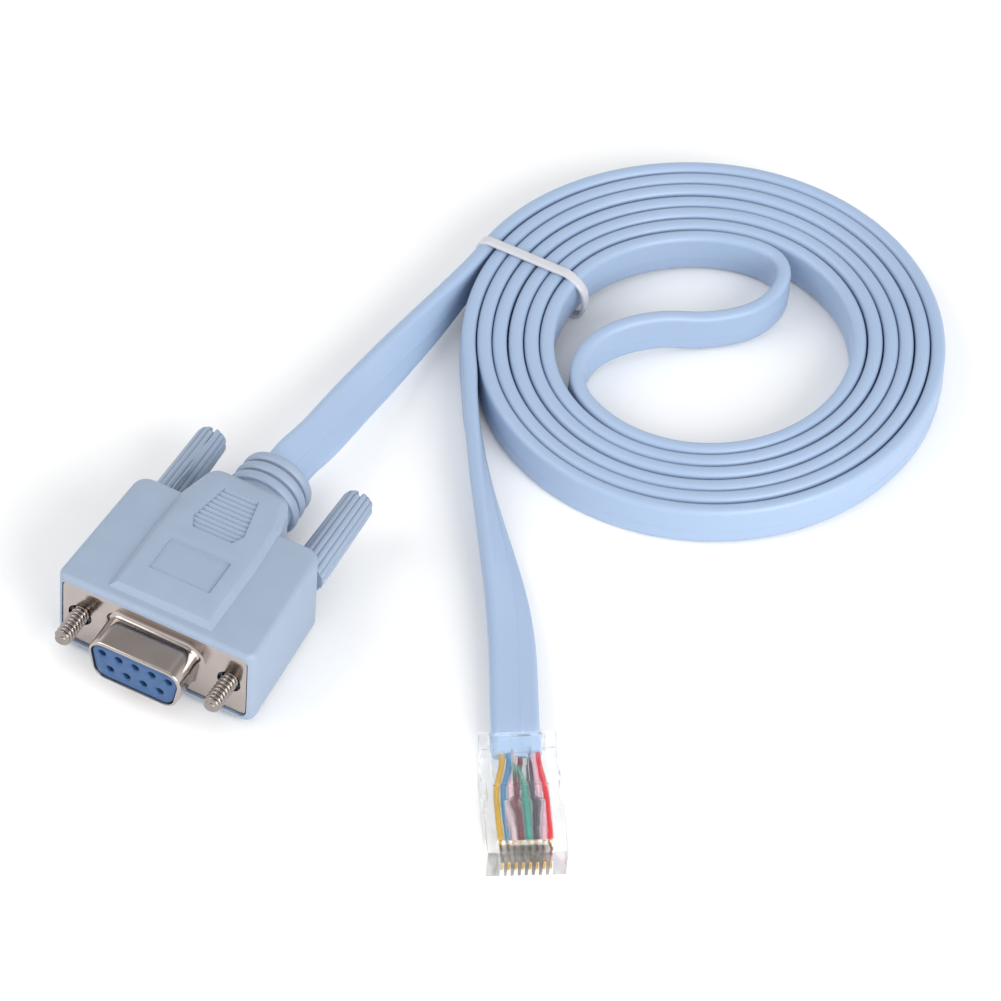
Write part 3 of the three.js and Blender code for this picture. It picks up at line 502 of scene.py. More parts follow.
def prism(name, corners, radius, start, end, edge, axis="z", both=True, sharp_angle=SHARP_ANGLE):
    """Outline pushed from start to end along an axis, each end's edge drawn in as edge says."""
    rings = []
    levels = [(start + depth, margin) for depth, margin in edge]
    if both:
        levels += [(end - depth, margin) for depth, margin in reversed(edge)]
    else:
        levels.append((end, 0.0))
    for level, margin in levels:
        plan = outline(corners, radius, margin)
        if axis == "z":
            rings.append([(x, y, level) for x, y in plan])
        elif axis == "y":
            rings.append([(x, level, y) for x, y in plan])
        else:
            rings.append([(level, x, y) for x, y in plan])
    return loft(name, rings, sharp_angle=sharp_angle)


def turned(name, profile, segments=64, height=0.0, closed=False, sharp_angle=SHARP_ANGLE):
    """Profile of radius and y turned about the Y axis."""
    rings = []
    for radius, y in profile:
        ring = []
        for index in range(segments):
            a = 2 * math.pi * index / segments
            ring.append((radius * math.cos(a), y, height + radius * math.sin(a)))
        rings.append(ring)
    return loft(name, rings, closed, sharp_angle)


def block(low, high):
    corners = box_corners(
        high[0] - low[0], high[1] - low[1], (low[0] + high[0]) / 2, (low[1] + high[1]) / 2)
    return loft("block", [[(x, y, z) for x, y in corners] for z in (low[2], high[2])])


def shift(obj, x=0.0, y=0.0, z=0.0):
    obj.data.transform(Matrix.Translation((x, y, z)))
    return obj


# Materials

def finish(name, colour, roughness, metallic=0.0, tint=0.06, tint_size=0.004, bump=0.0,
           bump_size=0.0004, rough_change=0.08, edge_highlight=0.0, **sockets):
    """Procedural finish: colour and roughness clouds, fine bump and convex edges painted paler as a
    painted highlight.
    """
    material = bpy.data.materials.new(name)
    material.use_nodes = True
    nodes = material.node_tree.nodes
    links = material.node_tree.links
    shader = nodes["Principled BSDF"]
    shader.inputs["Metallic"].default_value = metallic
    for socket, value in sockets.items():
        shader.inputs[socket.replace("_", " ")].default_value = value
    place = nodes.new("ShaderNodeTexCoord").outputs["Object"]

    clouds = nodes.new("ShaderNodeTexNoise")
    clouds.inputs["Scale"].default_value = 1 / tint_size
    clouds.inputs["Detail"].default_value = 4
    links.new(place, clouds.inputs["Vector"])
    shades = nodes.new("ShaderNodeValToRGB")
    shades.color_ramp.elements[0].position = CLOUD_RANGE[0]
    shades.color_ramp.elements[1].position = CLOUD_RANGE[1]
    shades.color_ramp.elements[0].color = (*[c * (1 - tint) for c in colour], 1)
    shades.color_ramp.elements[1].color = (*[min(c * (1 + tint), 1) for c in colour], 1)
    links.new(clouds.outputs["Fac"], shades.inputs["Fac"])
    colour_out = shades.outputs["Color"]

    # Painted highlight: convex edges, picked out by their pointiness, are painted paler
    if edge_highlight > 0:
        geometry = nodes.new("ShaderNodeNewGeometry")
        edges = nodes.new("ShaderNodeMapRange")
        edges.inputs["From Min"].default_value = EDGE_HIGHLIGHT_RANGE[0]
        edges.inputs["From Max"].default_value = EDGE_HIGHLIGHT_RANGE[1]
        edges.inputs["To Max"].default_value = edge_highlight
        links.new(geometry.outputs["Pointiness"], edges.inputs["Value"])
        paler = nodes.new("ShaderNodeMix")
        paler.data_type = "RGBA"
        highlight_colour = [min(c * EDGE_HIGHLIGHT_GAIN + EDGE_HIGHLIGHT_RAISE, 1) for c in colour]
        paler.inputs["B"].default_value = (*highlight_colour, 1)
        links.new(edges.outputs["Result"], paler.inputs["Factor"])
        links.new(colour_out, paler.inputs["A"])
        colour_out = paler.outputs["Result"]
    links.new(colour_out, shader.inputs["Base Color"])

    rough = nodes.new("ShaderNodeMapRange")
    rough.inputs["To Min"].default_value = max(roughness - rough_change, 0.02)
    rough.inputs["To Max"].default_value = roughness + rough_change
    links.new(clouds.outputs["Fac"], rough.inputs["Value"])
    links.new(rough.outputs["Result"], shader.inputs["Roughness"])

    if bump > 0:
        grain = nodes.new("ShaderNodeTexNoise")
        grain.inputs["Scale"].default_value = 1 / bump_size
        grain.inputs["Detail"].default_value = 3
        links.new(place, grain.inputs["Vector"])
        relief = nodes.new("ShaderNodeBump")
        relief.inputs["Strength"].default_value = 1.0
        relief.inputs["Distance"].default_value = bump
        links.new(grain.outputs["Fac"], relief.inputs["Height"])
        links.new(relief.outputs["Normal"], shader.inputs["Normal"])
    return material


def srgb(red, green, blue):
    """Linear colour from the 0 to 255 values of a screen colour."""
    def linear(value):
        share = value / 255
        return share / 12.92 if share <= 0.04045 else ((share + 0.055) / 1.055) ** 2.4
    return tuple(linear(value) for value in (red, green, blue))


# For hood, cable and insulator, the last keyword sets how strongly their convex edges are painted
# paler, a painted highlight
LOOKS = {
    "hood": finish("hood", srgb(140, 155, 175), 0.5, tint=0.02, bump=0.00001,
                   bump_size=0.00025, edge_highlight=0.25),
    "cable": finish("cable", srgb(149, 169, 196), 0.42, tint=0.015, tint_size=0.02,
                    bump=0.000006, bump_size=0.0006, edge_highlight=0.12),
    "steel": finish("steel", srgb(180, 170, 165), 0.16, 1.0, tint=0.04, bump=0.000006,
                    bump_size=0.0012, rough_change=0.06),
    "screw": finish("screw", srgb(150, 143, 138), 0.2, 1.0, tint=0.08, tint_size=0.001,
                    rough_change=0.08, bump=0.000004),
    "insulator": finish("insulator", srgb(40, 80, 126), 0.42, tint=0.04, bump=0.000006,
                        edge_highlight=0.2),
    "gold": finish("gold", srgb(214, 172, 92), 0.25, 1.0, tint=0.05, bump=0.000003),
    "tie": finish("tie", srgb(190, 191, 196), 0.2, tint=0.02, bump=0.000004,
                  bump_size=0.0008),
    "plug": finish("plug", srgb(247, 249, 250), 0.03, tint=0.01, rough_change=0.01,
                   bump=0.000001, bump_size=0.0009, Transmission_Weight=1.0, IOR=1.3,
                   Alpha=0.85),
}
# Name, colour and the shift to the side of the rear end of each core
WIRES = (
    ("yellow", srgb(176, 140, 52), 0.0007), ("blue", srgb(76, 118, 152), 0.00091),
    ("white", srgb(184, 158, 164), 0.00091), ("brown", srgb(98, 58, 64), 0.0007),
    ("green", srgb(64, 132, 118), -0.001155), ("black", srgb(66, 62, 72), 0.00042),
    ("pink", srgb(188, 150, 162), 0.00014), ("red", srgb(188, 34, 44), -0.00007),
)


def dress(obj, look):
    obj.data.materials.clear()
    obj.data.materials.append(look)
    return obj


# Cable

def catmull(points, spans=8):
    """Points of a smooth curve through the given points."""
    p = np.array(points, dtype=float)
    padded = np.vstack((2 * p[0] - p[1], p, 2 * p[-1] - p[-2]))
    curve = []
    for index in range(1, len(padded) - 2):
        a, b, c, d = padded[index - 1:index + 3]
        for step in range(spans):
            t = step / spans
            curve.append(0.5 * (2 * b + (c - a) * t + (2 * a - 5 * b + 4 * c - d) * t ** 2
                                + (3 * b - a - 3 * c + d) * t ** 3))
    curve.append(p[-1])
    return curve


def lift_at(angle):
    away = (angle - TIE_ANGLE + 180) % 360 - 180
    return TIE_LIFT * math.exp(-(away / TIE_LIFT_SPREAD) ** 2)


def coil_half(zero, begin, end):
    """One half of the coil; its strands lie a little unevenly, as a hand-wound cable's do."""
    steps = int(abs(end - begin) / COIL_ANGLE_STEP)
    points = []
    for step in range(steps + 1):
        wound = begin + (end - begin) * step / steps
        angle = wound + zero
        a = math.radians(angle)
        radius = COIL_START_RADIUS + COIL_PITCH * wound / 180
        radius += COIL_OVAL * math.cos(2 * math.radians(angle - COIL_OVAL_ANGLE))
        radius += COIL_WAVE * math.sin(a * COIL_WAVE_RATE + zero)
        rise = COIL_RISE * (0.5 + 0.5 * math.sin(a * COIL_RISE_RATE + 2 * zero))
        points.append((
            COIL_CENTRE[0] + radius * math.cos(a),
            COIL_CENTRE[1] + radius * math.sin(a),
            CABLE_WIDTH / 2 + lift_at(angle) + rise, 0.0))
    return points


def plug_point(x, y, z):
    """A point of the plug's own frame in the row's frame."""
    return (
        PLUG_NOSE[0] + x * math.cos(PLUG_TURN) - y * math.sin(PLUG_TURN),
        PLUG_NOSE[1] + x * math.sin(PLUG_TURN) + y * math.cos(PLUG_TURN), z)


def cable_route():
    bridge = []
    for x, y in catmull(BRIDGE):
        angle = math.degrees(math.atan2(y - COIL_CENTRE[1], x - COIL_CENTRE[0]))
        bridge.append((x, y, CABLE_WIDTH / 2 + lift_at(angle), 0.0))
    into_plug = [
        (*plug_point(0, PLUG_LENGTH, WIRE_HEIGHT), -90),
        (*plug_point(0, PLUG_LENGTH - JACKET_IN_PLUG, WIRE_HEIGHT), -90),
    ]
    inward = coil_half(INWARD_HALF["zero"], INWARD_HALF["from"], INWARD_HALF["to"])
    outer = coil_half(OUTWARD_HALF["zero"], OUTWARD_HALF["from"], OUTWARD_HALF["to"])
    raw = np.array(
        catmull(CONNECTOR_LEAD) + inward + bridge + outer + catmull(list(PLUG_LEAD) + into_plug))
    gaps = np.linalg.norm(np.diff(raw[:, :3], axis=0), axis=1)
    along = np.concatenate(([0], np.cumsum(gaps)))
    steps = int(along[-1] / CABLE_STEP)
    even = np.linspace(0, along[-1], steps + 1)
    route = np.stack([np.interp(even, along, raw[:, k]) for k in range(4)], axis=1)
    reach = int(3 * CABLE_EASE / CABLE_STEP)
    weights = np.exp(-0.5 * (np.arange(-reach, reach + 1) * CABLE_STEP / CABLE_EASE) ** 2)
    weights /= weights.sum()
    eased = route.copy()
    for k in range(4):
        eased[reach:-reach, k] = np.convolve(route[:, k], weights, mode="valid")
    return eased


def cable_section():
    """Flat section with rounded edges and a fine raised line along both faces."""
    steps = CABLE_CORNER_STEPS
    plan = outline(box_corners(CABLE_THICKNESS, CABLE_WIDTH), CABLE_EDGE_RADIUS, steps=steps)
    half = CABLE_THICKNESS / 2
    flat_end = CABLE_WIDTH / 2 - CABLE_EDGE_RADIUS - CABLE_SUPPORT
    line = CABLE_LINE_HALF_WIDTH
    beside = line + CABLE_SUPPORT
    face = [(0.0, -flat_end)]
    for out, away in ((0, -beside), (0, -line), (CABLE_LINE_HEIGHT, 0), (0, line), (0, beside)):
        face.append((out, CABLE_LINE_PLACE + away))
    face.append((0.0, flat_end))
    right = [(half + out, place) for out, place in face]
    left = [(-half - out, place) for out, place in reversed(face)]
    lower_left, lower_right, upper_right, upper_left = (
        plan[corner * (steps + 1):(corner + 1) * (steps + 1)] for corner in range(4))
    return lower_left + lower_right + right + upper_right + upper_left + left


def cable():
    route = cable_route()
    middle = route[:, :3]
    forward = np.gradient(middle, axis=0)
    forward /= np.linalg.norm(forward, axis=1)[:, None]
    section = cable_section()
    rings = []
    for place, ahead, turn in zip(middle, forward, np.radians(route[:, 3])):
        left = np.array((-ahead[1], ahead[0], 0.0))
        left /= np.linalg.norm(left)
        up = np.cross(ahead, left)
        width = up * math.cos(turn) + left * math.sin(turn)
        across = np.cross(width, ahead)
        rings.append([place + across * a + width * b for a, b in section])
    obj = loft("flat_cable", rings, sharp_angle=60)
    dress(obj, LOOKS["cable"])
    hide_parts("cable_connector_lead", "cable_coil", "cable_bridge", "cable_plug_lead")
    return obj, [tuple(p) for p in middle]


# Tie

def tie():
    """Band round the strands at the tie's angle, slack on the coil's inner side."""
    outer = COIL_CENTRE[0] - (COIL_START_RADIUS + COIL_PITCH * INWARD_HALF["from"] / 180)
    outer -= CABLE_THICKNESS / 2 - COIL_OVAL * TIE_CLEARANCE_SHARE
    inner_wound = INWARD_HALF["from"] - TIE_TURNS_WITHIN * 360
    inner = COIL_CENTRE[0] - (COIL_START_RADIUS + COIL_PITCH * inner_wound / 180)
    inner += CABLE_THICKNESS / 2 + COIL_OVAL * TIE_CLEARANCE_SHARE
    half = TIE_THICKNESS / 2
    top = CABLE_WIDTH + TIE_LIFT + COIL_RISE + half
    # Up the outer side, over the top, down the inner side and back along the floor
    points = (
        (outer - half, 0.0042), (outer - half * 0.8, 0.0070), (outer + 0.0008, top - 0.0002),
        (outer + 0.0030, top), (inner - 0.0044, top), (inner - 0.0016, top - 0.0001),
        (inner + 0.0008, 0.0068), (inner + TIE_INNER_SLACK, 0.0045),
        (inner + 0.0013, 0.0022), (inner + 0.0002, half + 0.0002), (inner - 0.0030, half),
        (outer + 0.0030, half), (outer + 0.0002, 0.0009), (outer - half * 0.9, 0.0022),
    )
    loop = np.array(catmull(points + points[:1], spans=6))[:-1]
    forward = np.roll(loop, -1, axis=0) - np.roll(loop, 1, axis=0)
    forward /= np.linalg.norm(forward, axis=1)[:, None]
    section = outline(box_corners(TIE_THICKNESS, TIE_WIDTH), TIE_THICKNESS * TIE_CORNER_SHARE,
                      steps=4)
    rings = []
    for (x, z), (ahead_x, ahead_z) in zip(loop, forward):
        rings.append([
            (x - ahead_z * a, COIL_CENTRE[1] + b, z + ahead_x * a) for a, b in section])
    obj = loft("tie_band", rings, closed=True, sharp_angle=60)
    dress(obj, LOOKS["tie"])
    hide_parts("tie")
    return obj


# D connector

def shell_outline(margin):
    """Outline of the shell in x and z, wide side up, drawn in by a margin."""
    half = SHELL_WIDTH / 2
    lower = half - SHELL_HEIGHT * math.tan(SHELL_SLANT)
    bottom = CONTACT_HEIGHT - SHELL_HEIGHT / 2
    top = CONTACT_HEIGHT + SHELL_HEIGHT / 2
    corners = ((-lower, bottom), (lower, bottom), (half, top), (-half, top))
    return outline(corners, SHELL_CORNER, margin, steps=10)


def shell_ring(y, margin):
    return [(x, y, z) for x, z in shell_outline(margin)]


def contact_places():
    places = []
    for count, side in CONTACT_ROWS:
        for index in range(count):
            x = (index - (count - 1) / 2) * CONTACT_PITCH
            places.append((x, CONTACT_HEIGHT + side * CONTACT_ROW_SPACING / 2))
    return places


def round_bar(radius, x, z, start, end):
    return shift(turned("bar", ((radius, start), (radius, end)), BAR_SEGMENTS), x, 0, z)


def steel_shell():
    edge = rounded_edge(FLANGE_EDGE, 2)
    plate = prism(
        "plate", box_corners(FLANGE_WIDTH, FLANGE_HEIGHT, 0, CONTACT_HEIGHT), FLANGE_CORNER,
        0.0, FLANGE_THICKNESS, edge, axis="y")
    opening = loft("opening", [
        shell_ring(-FLANGE_THICKNESS, -SHELL_FLARE / 2),
        shell_ring(2 * FLANGE_THICKNESS, -SHELL_FLARE / 2)])
    holes = [
        round_bar(FLANGE_HOLE_RADIUS, side * SCREW_SPACING / 2, CONTACT_HEIGHT,
                  -FLANGE_THICKNESS, 2 * FLANGE_THICKNESS) for side in (-1, 1)]
    combine(plate, [opening] + holes, "DIFFERENCE")
    rings = []
    for step in range(SHELL_FLARE_STEPS + 1):
        a = math.pi / 2 * step / SHELL_FLARE_STEPS
        rings.append(shell_ring(
            -SHELL_FLARE * (1 - math.cos(a)), -SHELL_FLARE * (1 - math.sin(a))))
    for ahead, drawn_in in SHELL_LIP_CURVE:
        rings.append(shell_ring(-SHELL_REACH + SHELL_LIP * (1 - ahead), SHELL_WALL * drawn_in))
    rings.append(shell_ring(-SHELL_REACH + SHELL_LIP, SHELL_WALL * SHELL_LIP_INSIDE))
    rings.append(shell_ring(FLANGE_THICKNESS, SHELL_WALL))
    rings.append(shell_ring(FLANGE_THICKNESS, -SHELL_FLARE))
    tube = loft("tube", rings, closed=True, sharp_angle=50)
    obj = join("steel_shell", [plate, tube])
    dress(obj, LOOKS["steel"])
    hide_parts("shell")
    return obj


def insulator_block():
    start = -SHELL_REACH + INSULATOR_SETBACK
    end = start + INSULATOR_LENGTH
    gap = SHELL_WALL + FIT
    rings = [shell_ring(start + depth, gap + margin)
             for depth, margin in rounded_edge(INSULATOR_EDGE, 3)]
    rings.append(shell_ring(end, gap))
    obj = loft("insulator_block", rings)
    cuts = []
    for x, z in contact_places():
        radius = CONTACT_ENTRY_RADIUS
        chamfer = CONTACT_ENTRY_CHAMFER
        behind = CONTACT_OUTSIDE_RADIUS + CONTACT_HOLE_GAP
        profile = (
            (radius + 2 * chamfer, start - chamfer), (radius, start + chamfer),
            (radius, start + CONTACT_ENTRY_DEPTH), (behind, start + CONTACT_ENTRY_DEPTH),
            (behind, end + OVERRUN))
        cuts.append(shift(turned("hole", profile, CONTACT_HOLE_SEGMENTS), x, 0, z))
    combine(obj, cuts, "DIFFERENCE")
    dress(obj, LOOKS["insulator"])
    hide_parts("insulator")
    return obj


def socket_contact(index, x, z):
    start = -SHELL_REACH + INSULATOR_SETBACK + CONTACT_SETBACK
    bore = CONTACT_BORE_RADIUS
    outside = CONTACT_OUTSIDE_RADIUS
    profile = (
        (bore, start + CONTACT_MOUTH_CHAMFER), (bore + CONTACT_MOUTH_CHAMFER, start),
        (outside, start), (outside, start + CONTACT_LENGTH), (bore, start + CONTACT_LENGTH))
    obj = turned(f"socket_contact_{index}", profile, CONTACT_SEGMENTS, closed=True)
    shift(obj, x, 0, z)
    dress(obj, LOOKS["gold"])
    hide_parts(f"socket_{index}")
    return obj


def hood_cover():
    front = HOOD_FRONT_WIDTH / 2
    back = front - HOOD_TAPER
    corners = (
        (-front, -HOOD_RIM, HOOD_FRONT_CORNER), (front, -HOOD_RIM, HOOD_FRONT_CORNER),
        (back, HOOD_DEPTH, HOOD_BACK_CORNER), (-back, HOOD_DEPTH, HOOD_BACK_CORNER))
    body = prism(
        "hood_cover", corners, 0.0, PANEL_RAISE, PANEL_RAISE + HOOD_THICKNESS,
        rounded_edge(HOOD_EDGE, 5))
    panel = prism(
        "panel", mirrored_corners(PANEL_PLAN), 0.0, 0.0, MIRROR_HEIGHT, PANEL_SLOPE)
    relief = strain_relief()
    combine(body, [panel, relief], "UNION")
    flange = prism(
        "recess", box_corners(FLANGE_WIDTH + 2 * FIT, FLANGE_HEIGHT + 2 * FIT, 0, CONTACT_HEIGHT),
        FLANGE_CORNER, -OVERRUN, FLANGE_THICKNESS + FIT, ((0.0, 0.0),), axis="y", both=False)
    pocket = loft("pocket", [
        shell_ring(0.0, -SHELL_FLARE - FIT),
        shell_ring(INSULATOR_LENGTH - SHELL_REACH + OVERRUN, -SHELL_FLARE - FIT)])
    holes = [
        round_bar(SCREW_HOLE_RADIUS, side * SCREW_SPACING / 2, CONTACT_HEIGHT,
                  -OVERRUN, HOOD_DEPTH + OVERRUN) for side in (-1, 1)]
    label = prism(
        "label", box_corners(LABEL_WIDTH, LABEL_LENGTH, 0, LABEL_START + LABEL_LENGTH / 2),
        LABEL_CORNER, MIRROR_HEIGHT - LABEL_DEPTH, MIRROR_HEIGHT + OVERRUN, LABEL_EDGE,
        both=False)
    pads = [finger_pad(False), finger_pad(True)]
    combine(body, [flange, pocket, label] + holes + pads, "DIFFERENCE", sharp_angle=32)
    dress(body, LOOKS["hood"])
    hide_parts("hood")
    return body


def strain_relief():
    ring = RELIEF_RING_LENGTH
    profile = [(RELIEF_RADII[0] - RELIEF_GROOVE_DEPTH, HOOD_DEPTH)]
    start = RELIEF_START
    for radius in RELIEF_RADII:
        groove = radius - RELIEF_GROOVE_DEPTH
        profile.append((groove, start))
        for step in range(RELIEF_RING_STEPS + 1):
            a = math.pi * step / RELIEF_RING_STEPS
            inside = 0 < step < RELIEF_RING_STEPS
            swell = math.sin(a) ** RELIEF_RING_POWER if inside else 0.0
            profile.append((
                groove + RELIEF_GROOVE_DEPTH * swell, start + ring * (1 - math.cos(a)) / 2))
        start += ring + RELIEF_GROOVE_WIDTH
    return turned("relief", profile, RELIEF_SEGMENTS, CONTACT_HEIGHT, sharp_angle=60)


def pad_half_width(y):
    places, halves = zip(*PAD_HALF_WIDTHS)
    return float(np.interp(y, places, halves))


def finger_pad(under):
    """Cutter for the pad: a recess whose floor rises and falls between its ridges."""
    begin, end = PAD_HALF_WIDTHS[0][0], PAD_HALF_WIDTHS[-1][0]
    steps = PAD_RIDGES * PAD_RIDGE_STEPS
    above = MIRROR_HEIGHT + OVERRUN
    rings = []
    for step in range(steps + 1):
        y = begin + (end - begin) * step / steps
        wave = 0.5 - 0.5 * math.cos(2 * math.pi * PAD_RIDGES * step / steps)
        share = PAD_RIDGE_SHARE + (1 - PAD_RIDGE_SHARE) * wave ** PAD_RIDGE_POWER
        floor = MIRROR_HEIGHT - PAD_DEPTH * share
        half = pad_half_width(y)
        ring = [(-half, y, floor), (half, y, floor), (half, y, above), (-half, y, above)]
        rings.append([(x, y, MIRROR_HEIGHT - z) for x, y, z in ring] if under else ring)
    return loft("pad", rings)


def thumbscrew(side, name):
    """Screw with a helical thread at its front end, and the shank that its grip is moulded on."""
    segments = SCREW_SEGMENTS
    tip = -SCREW_TIP_REACH
    flat = SCREW_RADIUS * SCREW_TIP_FLAT_SHARE
    root = SCREW_RADIUS - SCREW_THREAD_DEPTH
    rows = int(SCREW_THREAD_LENGTH / SCREW_PITCH * SCREW_ROWS_PER_TURN)
    rings = []
    for radius, depth in ((SCREW_DIMPLE_RADIUS, SCREW_DIMPLE), (flat, 0.0)):
        rings.append(screw_ring([radius] * segments, tip + depth))
    for row in range(rows + 1):
        y = tip + SCREW_PITCH * row / SCREW_ROWS_PER_TURN
        grown = min((y - tip) / SCREW_TIP_TAPER, 1.0)
        share = SCREW_TIP_SHARE + (1 - SCREW_TIP_SHARE) * grown
        radii = []
        for index in range(segments):
            turn = (y - tip) / SCREW_PITCH - index / segments
            crest = (0.5 - 0.5 * math.cos(2 * math.pi * turn)) ** SCREW_CREST_POWER
            radii.append((root + SCREW_THREAD_DEPTH * crest) * share)
        rings.append(screw_ring(radii, y))
    neck = tip + SCREW_PITCH * rows / SCREW_ROWS_PER_TURN + SCREW_NECK_LENGTH
    rings.append(screw_ring([SCREW_SHANK_RADIUS] * segments, neck))
    rings.append(screw_ring([SCREW_SHANK_RADIUS] * segments, SCREW_SHANK_END))
    obj = loft(f"thumbscrew_shank_{name}", rings, sharp_angle=180)
    shift(obj, side * SCREW_SPACING / 2, 0, CONTACT_HEIGHT)
    dress(obj, LOOKS["screw"])
    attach(obj, f"thumbscrew_{name}")
    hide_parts(f"screw_{name}")
    return obj


def screw_ring(radii, y):
    count = len(radii)
    return [
        (r * math.cos(2 * math.pi * i / count), y, r * math.sin(2 * math.pi * i / count))
        for i, r in enumerate(radii)]


def thumbscrew_grip(side, name):
    """Moulded grip: ribbed lengthwise, tapered, with a flash line and a crossed slot in its tip."""
    segments = GRIP_RIBS * GRIP_RIB_SEGMENTS
    straight = GRIP_LENGTH - GRIP_TIP_ROUNDING
    rings = []
    levels = [straight * row / GRIP_ROWS for row in range(GRIP_ROWS + 1)]
    shares = [1.0] * len(levels)
    for step in range(1, GRIP_ROUNDING_STEPS + 1):
        a = math.pi / 2 * step / GRIP_ROUNDING_STEPS
        levels.append(GRIP_LENGTH - GRIP_TIP_ROUNDING * (1 - math.sin(a)))
        shares.append(1 - (1 - math.cos(a)) * GRIP_TIP_ROUNDING / GRIP_TIP_RADIUS)
    for y, share in zip(levels, shares):
        base = GRIP_BASE_RADIUS + (GRIP_TIP_RADIUS - GRIP_BASE_RADIUS) * y / GRIP_LENGTH
        fast, slow = GRIP_FLASH_WAVES
        line = GRIP_FLASH_ANGLE + GRIP_FLASH_WANDER * math.sin(y * fast) * math.sin(y * slow + side)
        line += math.pi if side > 0 else 0.0
        radii = []
        for index in range(segments):
            a = 2 * math.pi * index / segments
            rib = abs(math.cos(GRIP_RIBS * a / 2)) ** GRIP_RIB_POWER
            flash = GRIP_FLASH * math.exp(-((a - line) / GRIP_FLASH_WIDTH) ** 2)
            radii.append((base - GRIP_RIB_DEPTH * (1 - rib) + flash) * share)
        rings.append(screw_ring(radii, GRIP_START + y))
    obj = loft(f"thumbscrew_grip_{name}", rings, sharp_angle=50)
    wide = GRIP_BASE_RADIUS + OVERRUN
    slot = GRIP_SLOT_WIDTH / 2
    low = GRIP_START + GRIP_LENGTH - GRIP_SLOT_DEPTH
    high = GRIP_START + GRIP_LENGTH + GRIP_SLOT_DEPTH
    bore = round_bar(SCREW_SHANK_RADIUS + FIT, 0, 0, 0.0, SCREW_SHANK_END + FIT)
    combine(obj, [
        block((-wide, low, -slot), (wide, high, slot)),
        block((-slot, low, -wide), (slot, high, wide)), bore], "DIFFERENCE", 50)
    shift(obj, side * SCREW_SPACING / 2, 0, CONTACT_HEIGHT)
    dress(obj, LOOKS["hood"])
    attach(obj, f"thumbscrew_{name}")
    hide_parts(f"grip_{name}")
    return obj


# Modular plug

def side_prism(name, profile, half_width, corner):
    """Side profile in y and z, anticlockwise, pushed across the plug."""
    return prism(name, profile, corner, -half_width, half_width, ((0.0, 0.0),), axis="x")


def side_blocks(half, depth, start, end, bottom):
    """Two cutters that take a depth off both sides of the plug, from start to end along it."""
    return [
        block((side * (half - depth + OVERRUN) - OVERRUN, start, bottom),
              (side * (half - depth + OVERRUN) + OVERRUN, end, PLUG_HEIGHT + OVERRUN))
        for side in (-1, 1)]


def plug_shape():
    body = side_prism("plug_shape", (
        (0, 0), (PLUG_LENGTH, 0), (PLUG_LENGTH, PLUG_HEIGHT),
        (PLUG_NOSE_SLOPE_END, PLUG_HEIGHT), (0, PLUG_NOSE_HEIGHT)), PLUG_WIDTH / 2,
        PLUG_PROFILE_CORNER)
    half = PLUG_WIDTH / 2
    plan = prism(
        "plan", mirrored_corners(((0, half), (PLUG_LENGTH, half))), PLUG_PLAN_CORNER,
        -OVERRUN, PLUG_HEIGHT + OVERRUN, ((0.0, 0.0),))
    combine(body, [plan], "INTERSECT")
    sides = side_blocks(
        half, (PLUG_WIDTH - PLUG_REAR_WIDTH) / 2, PLUG_REAR_START, PLUG_LENGTH + OVERRUN,
        -OVERRUN)
    notches = side_blocks(
        half, PLUG_NOTCH_DEPTH, PLUG_NOTCH_START, PLUG_NOTCH_END, PLUG_NOTCH_BOTTOM)
    combine(body, sides + notches, "DIFFERENCE")
    return soften(body, PLUG_EDGE)


def plug_hollows():
    """Cutters for the jacket, the cores, the clamping bar and the comb of slots."""
    jacket = side_prism(
        "jacket", JACKET_HOLLOW, JACKET_HOLLOW_HALF_WIDTH, JACKET_HOLLOW_CORNER)
    low, high = WIRE_HOLLOW_HEIGHTS
    wires = block((-WIRE_HOLLOW_HALF_WIDTH, WIRE_FRONT - WIRE_HOLLOW_AHEAD, low),
                  (WIRE_HOLLOW_HALF_WIDTH, WIRE_HOLLOW_END, high))
    bar = side_prism("bar", BAR_HOLLOW, BAR_HOLLOW_HALF_WIDTH, BAR_HOLLOW_CORNER)
    wide, narrow = SLOT_HALF_WIDTHS
    slots = []
    for index in range(BLADE_COUNT):
        x = blade_place(index)
        front = loft("slot", [
            [(x - wide, y, -OVERRUN), (x + wide, y, -OVERRUN),
             (x + narrow, y, SLOT_NOSE_HEIGHT), (x - narrow, y, SLOT_NOSE_HEIGHT)]
            for y in (-OVERRUN, SLOT_NOSE_LENGTH)])
        back = block((x - narrow, SLOT_BACK_START, -OVERRUN),
                     (x + narrow, SLOT_BACK_END, SLOT_BACK_HEIGHT))
        slots += [front, back]
    return [jacket, wires, bar] + slots


def blade_place(index):
    return (index - (BLADE_COUNT - 1) / 2) * BLADE_PITCH


def latch():
    """Springy lever: hinged at the nose, wide at its shoulder, narrow toward its free end."""
    rings = []
    for y, half, bottom, top in LATCH_SECTIONS:
        rings.append([(-half, y, bottom), (half, y, bottom), (half, y, top), (-half, y, top)])
    lever = loft("latch", rings)
    low, high = LATCH_WINDOW
    combine(lever, [block(low, high)], "DIFFERENCE")
    return soften(lever, LATCH_EDGE)


def in_row(obj):
    """Moves a piece from the plug's own frame to the row's."""
    turn = Matrix.Rotation(PLUG_TURN, 4, "Z")
    obj.data.transform(Matrix.Translation((PLUG_NOSE[0], PLUG_NOSE[1], 0)) @ turn)
    return obj


def clear_plug():
    body = plug_shape()
    combine(body, plug_hollows(), "DIFFERENCE")
    obj = combine(body, [latch()], "UNION")
    obj.name = "clear_plug"
    in_row(obj)
    dress(obj, LOOKS["plug"])
    # Light reaches the floor and the cores through the clear plastic
    obj.visible_shadow = False
    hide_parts("plug_body")
    return obj


